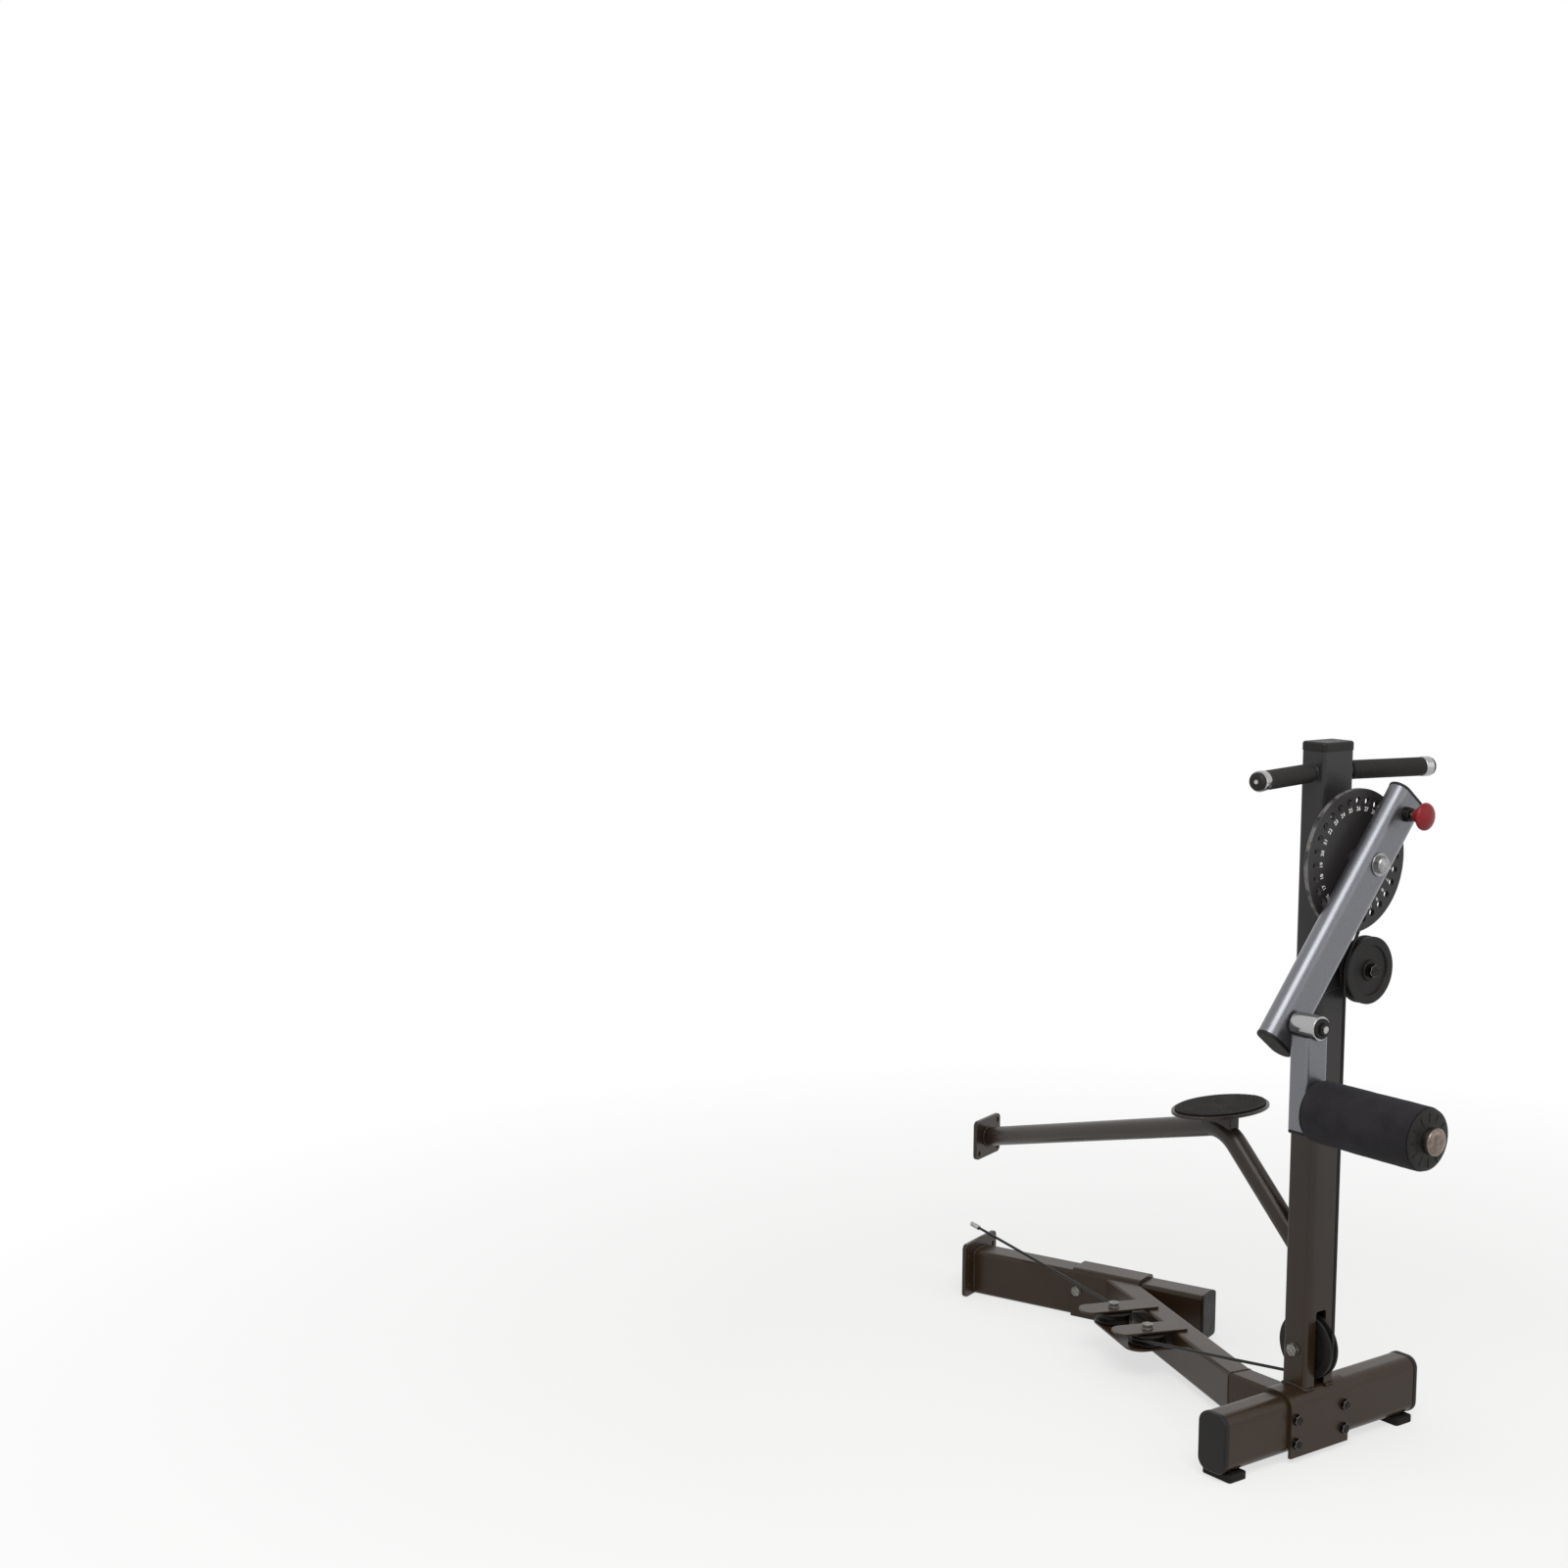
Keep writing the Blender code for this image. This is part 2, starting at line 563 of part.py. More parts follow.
# Link rail: it leaves the saddle straight back, turns once and meets the base rail
rail_mid = Z * (RAIL_TOP - RAIL_Z / 2)
rail_out = rrect(RAIL_Y, RAIL_Z, CORNER)
rail_in = rrect(RAIL_Y - 2 * WALL, RAIL_Z - 2 * WALL, CORNER - WALL)
saddle_back = Vector((-sx1 - FIT, 0, 0))
bend_n = (X - RAIL_DIR).normalized()
near_face = BASE_END - BASE_NRM * (BASE_W / 2 + SADDLE_T + 2 * FIT)


def rail_loops(pts):
    # first coordinate: across the rail towards -Y, second: up
    a = [hit(rail_mid - Y * p + Z * q, X, saddle_back, X) for p, q in pts]
    b = [hit(rail_mid + RAIL_BEND - Y * p + Z * q, X, RAIL_BEND, bend_n) for p, q in pts]
    c = [hit(rail_mid + RAIL_BEND + RAIL_NRM * p + Z * q, RAIL_DIR, near_face, BASE_NRM)
         for p, q in pts]
    return [a, b, c]


put("link_rail", loft(rail_loops(rail_out), rail_loops(rail_in)), PAINT, 0.45)

# Base rail along the floor, its end cap and the flange for the host gym
base_out = rrect(BASE_W, BASE_H, BAR_CORNER)
base_in = rrect(BASE_W - 2 * WALL, BASE_H - 2 * WALL, BAR_CORNER - WALL)
base_mid = Z * (BASE_H / 2)
bl = [BASE_START + base_mid - BASE_DIR * (FLANGE_T / 2), BASE_END + base_mid]
base_rail = put("base_rail", loft([frame_loop(base_out, p, BASE_NRM, Z) for p in bl],
                                  [frame_loop(base_in, p, BASE_NRM, Z) for p in bl]),
                PAINT, 0.45)
cut(base_rail, saddle_holes(rail_spots, -BASE_NRM, BASE_W / 2), "cut_base_rail_holes")
put("base_rail_cap", plug_cap(base_out, base_in, bl[1], BASE_NRM, Z, BASE_DIR, SMALL_CAP_T,
                              SMALL_CAP_EDGE), BLACK, 0.6)


def host_flange(at, w, h, hole_w, hole_h):
    """Plate across the base rail's direction; at is the middle of its front face."""
    lp = rrect(w, h, FLANGE_CORNER)
    bm = loft([frame_loop(lp, at - BASE_DIR * FLANGE_T, BASE_NRM, Z),
               frame_loop(lp, at, BASE_NRM, Z)])
    back = at - BASE_DIR * (2 * FLANGE_T)
    holes = [rod(back + BASE_NRM * (i * hole_w / 2) + Z * (j * hole_h / 2),
                 BASE_DIR, FLANGE_HOLE_R, 4 * FLANGE_T, 16) for i in (-1, 1) for j in (-1, 1)]
    return bm, join(*holes)


fl, holes = host_flange(BASE_START + Z * (BASE_FLANGE_H / 2), BASE_FLANGE_W, BASE_FLANGE_H,
                        BASE_HOLES_W, BASE_HOLES_H)
base_flange = put("weld_base_flange", fl, None, smooth=False)
cut(base_flange, holes, "cut_base_flange_holes")
weld(base_rail, base_flange)

# Bent brace tube from the host gym to the back of the post
host_pt = BASE_START + BASE_NRM * BRACE_HOST_SIDE + Z * BRACE_HOST_Z
post_pt = Vector((-POST_X / 2 - FIT, 0, BRACE_POST_Z))
knee = Vector((BRACE_BEND_X, 0, BRACE_TOP_Z))
d0 = (knee - post_pt).normalized()
d1 = (host_pt - knee).normalized()
turn = d0.angle(d1)
back_off = BRACE_BEND_R * math.tan(turn / 2)
k0 = knee - d0 * back_off
nrm = d0.cross(d1).normalized()
centre = k0 + nrm.cross(d0) * BRACE_BEND_R
path = [(post_pt, d0)]
for k in range(6):
    a = turn * k / 5
    dk = d0 * math.cos(a) + nrm.cross(d0) * math.sin(a)
    path.append((centre - nrm.cross(dk) * BRACE_BEND_R, dk))
path.append((host_pt, d1))


def brace_loops(r):
    out = []
    for i, (p, d) in enumerate(path):
        u = nrm
        v = d.cross(u)
        lp = frame_loop(ring(r, 16), p, u, v)
        if i == 0:
            lp = [hit(q, d, post_pt, X) for q in lp]
        if i == len(path) - 1:
            lp = [hit(q, d, host_pt - BASE_DIR * (FLANGE_T / 2), BASE_DIR) for q in lp]
        out.append(lp)
    return out


brace = put("brace", loft(brace_loops(BRACE_R), brace_loops(BRACE_R - BRACE_WALL)), PAINT, 0.45)
fl, holes = host_flange(host_pt, BRACE_FLANGE_W, BRACE_FLANGE_H, BRACE_HOLES_W, BRACE_HOLES_H)
brace_flange = put("weld_brace_flange", fl, None, smooth=False)
cut(brace_flange, holes, "cut_brace_flange_holes")
weld(brace, brace_flange)

# Oval foot plate on its bracket above the bend
plate_c = Vector((BRACE_BEND_X - PLATE_BACK, PLATE_SIDE, BRACE_TOP_Z + BRACE_R + PLATE_UP))


def ellipse(a, b, n=28):
    return [(a * math.cos(2 * math.pi * k / n), b * math.sin(2 * math.pi * k / n))
            for k in range(n)]


def flat(a, b, z, e):
    lo = [(a - e, b - e, z[0]), (a, b, z[0] + e), (a, b, z[1] - e), (a - e, b - e, z[1])]
    return loft([frame_loop(ellipse(p, q), Vector((plate_c.x, plate_c.y, h)), Y, X)
                 for p, q, h in lo])


z0 = plate_c.z
z1 = z0 + PLATE_T + FIT
put("foot_plate", flat(PLATE_A, PLATE_B, (z0, z0 + PLATE_T), PLATE_EDGE), PAINT, 0.5)
put("foot_plate_pad", flat(PLATE_A - PAD_IN, PLATE_B - PAD_IN, (z1, z1 + PAD_T), PAD_EDGE),
    BLACK, 0.95)
seat = put("weld_plate_seat", box(plate_c.x - SEAT_X / 2, plate_c.x + SEAT_X / 2, -SEAT_Y / 2,
                                  SEAT_Y / 2, BRACE_TOP_Z - SEAT_DOWN, z0 - FIT),
           None, smooth=False)
cut(seat, loft(brace_loops(BRACE_R - BRACE_WALL / 2)), "cut_plate_seat")
weld(brace, seat)

# Flat pulleys near the junction: a top plate each on the link rail, one shelf below
def rail_spot(p):
    """Distance along the link rail after its bend, and out from its centreline."""
    q = Vector((p[0], p[1], 0)) - RAIL_BEND
    return q.dot(RAIL_DIR), q.dot(RAIL_NRM)


def on_rail(along, out, z):
    return RAIL_BEND + RAIL_DIR * along + RAIL_NRM * out + Z * z


def rounded(a0, a1, o0, o1, r):
    """Plate outline from o0 to o1 out of the rail, its two outer corners rounded."""
    out = [(a0, o0)]
    for ca, b0 in ((a0 + r, 180), (a1 - r, 90)):
        for k in range(5):
            b = math.radians(b0 - 22.5 * k)
            out.append((ca + r * math.cos(b), o1 - r + r * math.sin(b)))
    out.append((a1, o0))
    return out


def flat_plate(outline, z):
    return loft([[on_rail(a, o, h) for a, o in outline] for h in (z, z + FORK_T)])


spots = [rail_spot(FLAT_1), rail_spot(FLAT_2)]
top_z = FLAT_Z + FORK_GAP
shelf_z = FLAT_Z - FORK_GAP - FORK_T
reach = SMALL_ROPE_R + FLANGE_OVER
rail_side = RAIL_Y / 2 + FIT
up = top_z + FORK_T + FIT
down = shelf_z - FIT
shelf = put("fork_shelf", flat_plate(
    rounded(spots[1][0] - reach, spots[0][0] + reach, rail_side, rail_side + SHELF_REACH,
            SHELF_CORNER), shelf_z), PAINT, 0.45)
for i, (x, y) in enumerate((FLAT_1, FLAT_2)):
    a, o = spots[i]
    plate = put("fork_plate_%d" % (i + 1), flat_plate(
        rounded(a - FORK_W / 2, a + FORK_W / 2, 0.0, o + FORK_REACH, FORK_CORNER), top_z),
        PAINT, 0.45)
    for target in (plate, shelf):
        cut(target, rod((x, y, shelf_z - FORK_T), Z, THROUGH_R + RUN, 4 * FORK_GAP, 12),
            "cut_%s_%d" % (target.name, i + 1))
    put("fork_bolt_%d" % (i + 1), bolt((x, y, up), -Z, AXLE_AF, AXLE_HEAD, THROUGH_R,
                                       nut_at=up - down), ZINC, 0.4, 1.0)


def pulley(at, d, rope, bore, hub_w, foot=GROOVE_FOOT, mouth=GROOVE_MOUTH):
    """Grooved wheel; rope is the radius of the cable's centre, foot and mouth are half
    the groove's width at its bottom and at the rim."""
    rim = rope + FLANGE_OVER
    low_r = rope - CABLE_D / 2 - ROPE_FREE
    h, w, hub = hub_w / 2, PULLEY_W / 2, bore + HUB_WALL
    web = hub + HUB_STEP
    prof = [(-h, bore), (-h, hub), (-w, web), (-w, rim), (-mouth, rim), (-foot, low_r),
            (foot, low_r), (mouth, rim), (w, rim), (w, web), (h, hub), (h, bore)]
    return lathe(prof, at, d, 24)


for i, (x, y) in enumerate((FLAT_1, FLAT_2)):
    put("flat_pulley_%d" % (i + 1),
        pulley((x, y, FLAT_Z), Z, SMALL_ROPE_R, THROUGH_R + RUN, 2 * (FORK_GAP - FIT),
               FLAT_FOOT, FLAT_MOUTH), BLACK, 0.5, origin=(x, y, FLAT_Z))

# Low pulley inside the post
put("low_pulley", pulley((0, 0, LOW_Z), Y, ROPE_R, BOLT_R + RUN, HUB_W), BLACK, 0.5,
    origin=(0, 0, LOW_Z))
low_at = POST_Y / 2 + FIT
s0 = low_at - POST_Y / 2 + WALL + FIT       # spacer, from the post's inner wall
s1 = low_at - HUB_W / 2 - FIT               # to the pulley's hub
put("low_axle_bolt", bolt((0, -low_at, LOW_Z), Y, AXLE_AF, AXLE_HEAD, BOLT_R,
                          ((s0, s1, SPACER_R), (2 * low_at - s1, 2 * low_at - s0, SPACER_R)),
                          nut_at=2 * low_at), ZINC, 0.4, 1.0)

# Idler pulley under the disc, on a plate that stands out from the post's front
idler = Vector((ROPE_X, ROPE_R, IDLER_Z))
px = POST_X / 2 + FIT
pts = [(-BRACKET_BACK, -BRACKET_H / 2)]
for k in range(9):
    a = math.radians(180.0 * k / 8 - 90)
    pts.append((ROPE_R + BRACKET_NOSE_R * math.cos(a), BRACKET_NOSE_R * math.sin(a)))
pts.append((-BRACKET_BACK, BRACKET_H / 2))
bracket = put("idler_bracket", loft([[Vector((x, p, IDLER_Z + q)) for p, q in pts]
                                     for x in (px, px + BRACKET_T)]), PAINT, 0.45)
cut(bracket, rod((0, ROPE_R, IDLER_Z), X, BOLT_R + RUN, POST_X, 16), "cut_idler_hole")
put("idler_pulley", pulley(idler, X, ROPE_R, BOLT_R + RUN, HUB_W), BLACK, 0.5, origin=idler)
head = ROPE_X + HUB_W / 2 + FIT
put("idler_bolt", bolt((head, idler.y, IDLER_Z), -X, AXLE_AF, AXLE_HEAD, BOLT_R,
                       ((HUB_W + 2 * FIT, head - px - BRACKET_T - FIT, SPACER_R),),
                       nut_at=head - px + FIT), ZINC, 0.4, 1.0)

# Pivot: shaft through the post, boss, drum and disc
hub_x0, hub_x1 = BOSS_END + FIT, ARM_X0 - FIT
drum_r = CAM_R + DRUM_OVER
groove_r = CAM_R - CABLE_D / 2 - ROPE_FREE
prof = [(hub_x0, SHAFT_R + RUN), (hub_x0, BOSS_R), (DRUM_X0, BOSS_R + HUB_STEP),
        (DRUM_X0, drum_r), (ROPE_X - GROOVE_MOUTH, drum_r), (ROPE_X - GROOVE_FOOT, groove_r),
        (ROPE_X + GROOVE_FOOT, groove_r), (ROPE_X + GROOVE_MOUTH, drum_r), (DRUM_X1, drum_r),
        (DRUM_X1, DRUM_HUB_R), (hub_x1, DRUM_HUB_R), (hub_x1, SHAFT_R + RUN)]
drum = put("cable_drum", lathe(prof, PIVOT, X, 40), PAINT, 0.5, origin=PIVOT)
bore = DRUM_HUB_R + RUN
disc = put("range_disc", lathe([(DISC_X0, bore), (DISC_X0, DISC_R), (DISC_X1, DISC_R),
                                (DISC_X1, bore)], PIVOT, X, 48), PAINT, 0.5, origin=PIVOT)
holes = []
for k in range(HOLE_N):
    a = A + 2 * math.pi * k / HOLE_N
    c = PIVOT + Vector((0, math.sin(a), math.cos(a))) * HOLE_RING
    holes.append(rod((DISC_X0 - DISC_T, c.y, c.z), X, HOLE_D / 2, 3 * DISC_T, 8))
cut(disc, join(*holes), "cut_disc_holes")

head_x = -POST_X / 2 - FIT
cap_x = ARM_X1 + FIT
wx = cap_x + CAP_WASHER_T
dome_x = wx + CAP_NUT_H - CAP_NUT_DOME
shaft_end = dome_x + 2 * BREAK
seat_x = cap_x - 2 * FIT
head_end = head_x - SHAFT_HEAD_T
sh = [(head_end, 0), (head_end, SHAFT_HEAD_R - BREAK), (head_end + BREAK, SHAFT_HEAD_R),
      (head_x, SHAFT_HEAD_R), (head_x, SHAFT_R), (px, SHAFT_R), (px, BOSS_R),
      (BOSS_END, BOSS_R), (BOSS_END, SHAFT_R), (seat_x, SHAFT_R), (seat_x, STUD_R),
      (shaft_end, STUD_R), (shaft_end, 0)]
put("pivot_shaft", lathe(sh, (0, 0, PIVOT_Z), X, 20, closed=False), ZINC, 0.35, 1.0)
nut_r = STUD_R + RUN
dome = [(dome_x + CAP_NUT_DOME * math.sin(math.radians(a)),
         CAP_NUT_R * math.cos(math.radians(a))) for a in (0, 37, 68)]
put("pivot_cap_nut", lathe([(shaft_end + RUN, 0), (shaft_end + RUN, nut_r), (cap_x, nut_r),
                            (cap_x, CAP_WASHER_R), (wx, CAP_WASHER_R), (wx, CAP_NUT_R), *dome,
                            (wx + CAP_NUT_H, 0)],
                           (0, 0, PIVOT_Z), X, 24, closed=False), CHROME, 0.15, 1.0)

# Swing arm: flat-oval tube with its end caps
arm_out = oval(ARM_W, ARM_T)
arm_in = oval(ARM_W - 2 * WALL, ARM_T - 2 * WALL)
arm_c = Vector(((ARM_X0 + ARM_X1) / 2, 0, PIVOT_Z))
arm_ends = [arm_c - UP * ARM_DOWN, arm_c + UP * ARM_UP]
arm = put("arm_tube", loft([frame_loop(arm_out, p, SIDE, X) for p in arm_ends],
                           [frame_loop(arm_in, p, SIDE, X) for p in arm_ends]),
          SILVER, 0.35, 0.6, origin=PIVOT)
barrel_r = PIN_D / 2 + RUN + BARREL_WALL
arm_bores = ((PIVOT, SHAFT_R), (PIN, barrel_r), (LINK_PIVOT, BOLT_R))
cut(arm, join(*[rod((ARM_X0 - ARM_T / 2, p.y, p.z), X, r + RUN, 2 * ARM_T, 20)
                for p, r in arm_bores]), "cut_arm_bores")
cap_o = oval(ARM_W + CAP_OVER, ARM_T + CAP_OVER)
for name, at, out in (("lower", arm_ends[0], -UP), ("upper", arm_ends[1], UP)):
    put("arm_cap_" + name, plug_cap(cap_o, arm_in, at, SIDE, X, out, SMALL_CAP_T,
                                    SMALL_CAP_EDGE), BLACK, 0.6, origin=PIVOT)

# Pop pin: barrel in the arm, plunger drawn back just clear of the disc, red knob
neck_x = ARM_X1 + FIT + BARREL_L
put("pin_barrel", lathe([(ARM_X0, PIN_D / 2 + RUN), (ARM_X0, barrel_r),
                         (ARM_X1 + FIT, barrel_r), (ARM_X1 + FIT, BARREL_R),
                         (neck_x - BREAK, BARREL_R), (neck_x, BARREL_R - BREAK),
                         (neck_x, PIN_D / 2 + RUN)], (0, PIN.y, PIN.z), X, 16),
    BLACK, 0.4, 0.5, origin=PIVOT)
tip = DISC_X1 + PIN_CLEAR
knob_x = neck_x + FIT + PIN_BACK
head_c = knob_x + KNOB_NECK_L + KNOB_HALF
prof = [(tip, 0), (tip, PIN_D / 2 - BREAK), (tip + BREAK, PIN_D / 2), (knob_x, PIN_D / 2),
        (knob_x, KNOB_NECK_R)]
for k in range(8):
    a = math.radians(157.5 - 22.5 * k)
    prof.append((head_c + KNOB_HALF * math.cos(a), KNOB_R * math.sin(a)))
prof[-1] = (head_c + KNOB_HALF, 0)
put("pin_knob", lathe(prof, (0, PIN.y, PIN.z), X, 16, closed=False), RED, 0.35,
    origin=(tip, PIN.y, PIN.z))

# Link: pivot bolt fixed in the arm, chrome sleeve, hanging tube
lp = LINK_PIVOT
a0 = ARM_X0 - FIT
washer_x = SLEEVE_X1 + FIT - a0
put("link_bolt", bolt((a0, lp.y, lp.z), X, AXLE_AF, AXLE_HEAD, BOLT_R,
                      ((ARM_X1 + FIT - a0, SLEEVE_X0 - FIT - a0, WASHER_R),
                       (washer_x, washer_x + WASHER_T, WASHER_R)),
                      nut_at=washer_x + WASHER_T + FIT, nut_h=LOW_NUT_H), ZINC, 0.35, 1.0,
    origin=PIVOT)
sleeve_r = SLEEVE_D / 2
put("link_sleeve", lathe([(SLEEVE_X0, BOLT_R + RUN), (SLEEVE_X0, sleeve_r - BREAK),
                          (SLEEVE_X0 + BREAK, sleeve_r), (SLEEVE_X1 - BREAK, sleeve_r),
                          (SLEEVE_X1, sleeve_r - BREAK), (SLEEVE_X1, BOLT_R + RUN)],
                         (0, lp.y, lp.z), X, 24), CHROME, 0.15, 1.0, origin=lp)
link_out = rrect(LINK_X, LINK_Y, CORNER)
link_in = rrect(LINK_X - 2 * WALL, LINK_Y - 2 * WALL, CORNER - WALL)
top = Vector((LINK_XC, lp.y, lp.z - LINK_TOP))
bottom = Vector((LINK_XC, lp.y, ROLLER.z - LINK_TAIL))
link = put("link_tube", loft([frame_loop(link_out, p, X, Y) for p in (bottom, top)],
                             [frame_loop(link_in, p, X, Y) for p in (bottom, top)]),
           SILVER, 0.35, 0.6, origin=lp)
cut(link, rod((SLEEVE_X0 - LINK_X, lp.y, lp.z), X, sleeve_r + FIT, SLEEVE_L + 2 * LINK_X, 24),
    "cut_link_seat")
cut(link, rod((SLEEVE_X0 - LINK_X, ROLLER.y, ROLLER.z), X, AXLE_R + RUN,
              SLEEVE_L + 2 * LINK_X, 16), "cut_link_axle")
put("link_bottom_cap", plug_cap(link_out, link_in, bottom, X, Y, -Z, SMALL_CAP_T,
                                SMALL_CAP_EDGE), BLACK, 0.6, origin=lp)

# Roller: axle through the link, foam, end caps, bright hub cap
rz = (0, ROLLER.y, ROLLER.z)
ax0 = LINK_XC - LINK_X / 2 - FIT
caps = [FOAM_X0 - FIT, FOAM_X1 + FIT]
hub_c = caps[1] + END_CAP_L + FIT
hub_end = hub_c + HUB_CAP_L
put("roller_axle", bolt((ax0, rz[1], rz[2]), X, ROLLER_AF, ROLLER_HEAD, AXLE_R,
                        length=hub_end - ax0), ZINC, 0.35, 1.0, origin=lp)
fi = AXLE_R + RUN
corner = FOAM_EDGE * (1 - math.sqrt(0.5))
put("foam_roller", lathe([(FOAM_X0, fi), (FOAM_X0, FOAM_R - FOAM_EDGE),
                          (FOAM_X0 + corner, FOAM_R - corner), (FOAM_X0 + FOAM_EDGE, FOAM_R),
                          (FOAM_X1 - FOAM_EDGE, FOAM_R), (FOAM_X1 - corner, FOAM_R - corner),
                          (FOAM_X1, FOAM_R - FOAM_EDGE), (FOAM_X1, fi)], rz, X, 28),
    FOAM, 0.95, origin=rz)
cap_prof = [(0, fi), (0, FOAM_R - END_CAP_EDGE + 2 * BREAK),
            (2 * BREAK, FOAM_R - END_CAP_EDGE + 3 * BREAK),
            (4 * BREAK, FOAM_R - END_CAP_EDGE), (END_CAP_L, HUB_CAP_R + BREAK), (END_CAP_L, fi)]
for name, x, d in (("inner", caps[0], -X), ("outer", caps[1], X)):
    put("roller_cap_" + name, lathe(cap_prof, (x, rz[1], rz[2]), d, 24), BLACK, 0.5, origin=rz)
dome = [(hub_end + HUB_CAP_DOME * math.sin(math.radians(a)),
         HUB_CAP_R * math.cos(math.radians(a))) for a in (0, 32, 62)]
put("roller_hub_cap", lathe([(hub_end + RUN, 0), (hub_end + RUN, fi), (hub_c, fi),
                             (hub_c, HUB_CAP_R), *dome, (hub_end + HUB_CAP_DOME, 0)],
                            rz, X, 20, closed=False), CHROME, 0.15, 1.0, origin=lp)


# Cable: from the host gym over the flat pulleys, under the low pulley, up the front of the
# post, over the idler and around the drum to its anchor
def arc(c, r, e1, e2, a0, a1, step=9.0):
    n = max(1, int(round(abs(a1 - a0) / step)))
    out = []
    for k in range(n + 1):
        a = math.radians(a0 + (a1 - a0) * k / n)
        out.append(c + e1 * (r * math.cos(a)) + e2 * (r * math.sin(a)))
    return out


def tangent_from(p, c, r, side):
    """Angle in degrees, about c, of the point where a line from p touches the circle."""
    dx, dy = p[0] - c[0], p[1] - c[1]
    return math.degrees(math.atan2(dy, dx) + side * math.acos(r / math.hypot(dx, dy)))


start = Vector(CABLE_START)
f1, f2 = Vector((*FLAT_1, FLAT_Z)), Vector((*FLAT_2, FLAT_Z))
low = Vector((0, 0, LOW_Z))
in1 = tangent_from(start, f1, SMALL_ROPE_R, -1)
gap = f2 - f1
lean = math.degrees(math.atan2(gap.y, gap.x))
half = math.degrees(math.acos(2 * SMALL_ROPE_R / gap.length))
out1 = lean + half
in2 = out1 - 180.0
out2 = tangent_from((0, 0), f2, SMALL_ROPE_R, -1)
run = Vector((math.cos(math.radians(out2)), math.sin(math.radians(out2)), 0))
leave = f2 + run * SMALL_ROPE_R
rise = tangent_from((leave.x, leave.z), (0, LOW_Z), ROPE_R, 1)
ic = idler - X * ROPE_X
gap = math.hypot(ROPE_R, PIVOT_Z - IDLER_Z)
line = math.degrees(math.atan2(PIVOT_Z - IDLER_Z, -ROPE_R))
half = math.degrees(math.acos((ROPE_R + CAM_R) / gap))
leave_i = line + half
meet_d = leave_i - 180.0
pts = [start]
pts += arc(f1, SMALL_ROPE_R, X, Y, in1, out1, 11)
pts += arc(f2, SMALL_ROPE_R, X, Y, in2, out2, 11)
pts += arc(low, ROPE_R, X, Z, rise, 0.0)
pts += arc(X * ROPE_X + ic, ROPE_R, Y, Z, 180.0, leave_i)
pts += arc(X * ROPE_X + PIVOT, CAM_R, Y, Z, meet_d, ANCHOR, 7.0)
cu = bpy.data.curves.new("cable", "CURVE")
cu.dimensions = "3D"
cu.bevel_depth = CABLE_D / 2
cu.bevel_resolution = 2
cu.use_fill_caps = True
sp = cu.splines.new("POLY")
sp.points.add(len(pts) - 1)
for q, p in zip(sp.points, pts):
    q.co = (p.x, p.y, p.z, 1.0)
cable = bpy.data.objects.new("cable", cu)
bpy.context.scene.collection.objects.link(cable)
cu.materials.append(material("mat_cable", BLACK, 0.35))

# Swaged stop in the drum, and the sleeve where the host gym's cable is joined
a = math.radians(ANCHOR)
tang = Vector((0, -math.sin(a), math.cos(a)))
end = pts[-1]
put("cable_stop", rod(end + tang * FIT, tang, STOP_R, STOP_L, 16, BREAK), ZINC, 0.35, 1.0,
    origin=PIVOT)
cut(drum, rod(end - tang * BREAK, tang, POCKET_R, POCKET_L, 12), "cut_drum_pocket")
back = (start - pts[1]).normalized()
put("cable_end_sleeve", rod(start + back * FIT, back, END_SLEEVE_R, END_SLEEVE_L, 16, BREAK),
    ZINC, 0.35, 1.0)

# Everything hangs on one empty, so that the origin is the middle of the footprint
machine = bpy.data.objects.new("machine", None)
machine.location = -FOOTPRINT_MID
bpy.context.scene.collection.objects.link(machine)
for ob in list(bpy.context.scene.objects):
    if ob is not machine:
        ob.parent = machine
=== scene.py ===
"""Multi hip machine for a home gym: the post on its T foot, the range disc with its
pop-pin swing arm, the hanging link with the foam roller, and the cable that drives it."""
import math

import bmesh
import bpy
from mathutils import Matrix, Vector, noise


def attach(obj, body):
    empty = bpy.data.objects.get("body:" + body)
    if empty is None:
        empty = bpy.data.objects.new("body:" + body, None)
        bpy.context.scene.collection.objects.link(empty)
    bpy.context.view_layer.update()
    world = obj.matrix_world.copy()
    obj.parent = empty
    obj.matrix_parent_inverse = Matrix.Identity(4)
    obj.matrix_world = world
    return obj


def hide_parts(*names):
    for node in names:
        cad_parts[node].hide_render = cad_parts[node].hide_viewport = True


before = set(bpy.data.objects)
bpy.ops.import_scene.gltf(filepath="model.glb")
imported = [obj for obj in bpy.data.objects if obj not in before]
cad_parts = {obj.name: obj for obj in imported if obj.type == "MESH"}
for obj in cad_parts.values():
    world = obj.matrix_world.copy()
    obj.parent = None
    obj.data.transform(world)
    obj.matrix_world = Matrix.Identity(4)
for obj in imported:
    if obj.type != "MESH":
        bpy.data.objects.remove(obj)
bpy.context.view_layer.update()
scene = bpy.context.scene

# Sizes in metres, laid out from the foot of the post: X runs along the roller, Y along the
# crossbar and Z up. Each finished piece is moved to the frame by POST_FOOT.
POST_FOOT = Vector((0.301, -0.022, 0.0))
X, Y, Z = Vector((1, 0, 0)), Vector((0, 1, 0)), Vector((0, 0, 1))
FIT = 0.0003                            # between two pieces that touch
WALL = 0.003                            # tube wall
TUBE_CORNER, WIDE_CORNER, CROSS_CORNER = 0.007, 0.009, 0.020
SOFT_EDGE = 0.0008                      # edge radius of cut and painted plate
# Radii of the weld beads
BEAD, MITRE_BEAD, HANDLE_BEAD, RAIL_BEAD, POST_BEAD = 0.0021, 0.0014, 0.0016, 0.0022, 0.0027

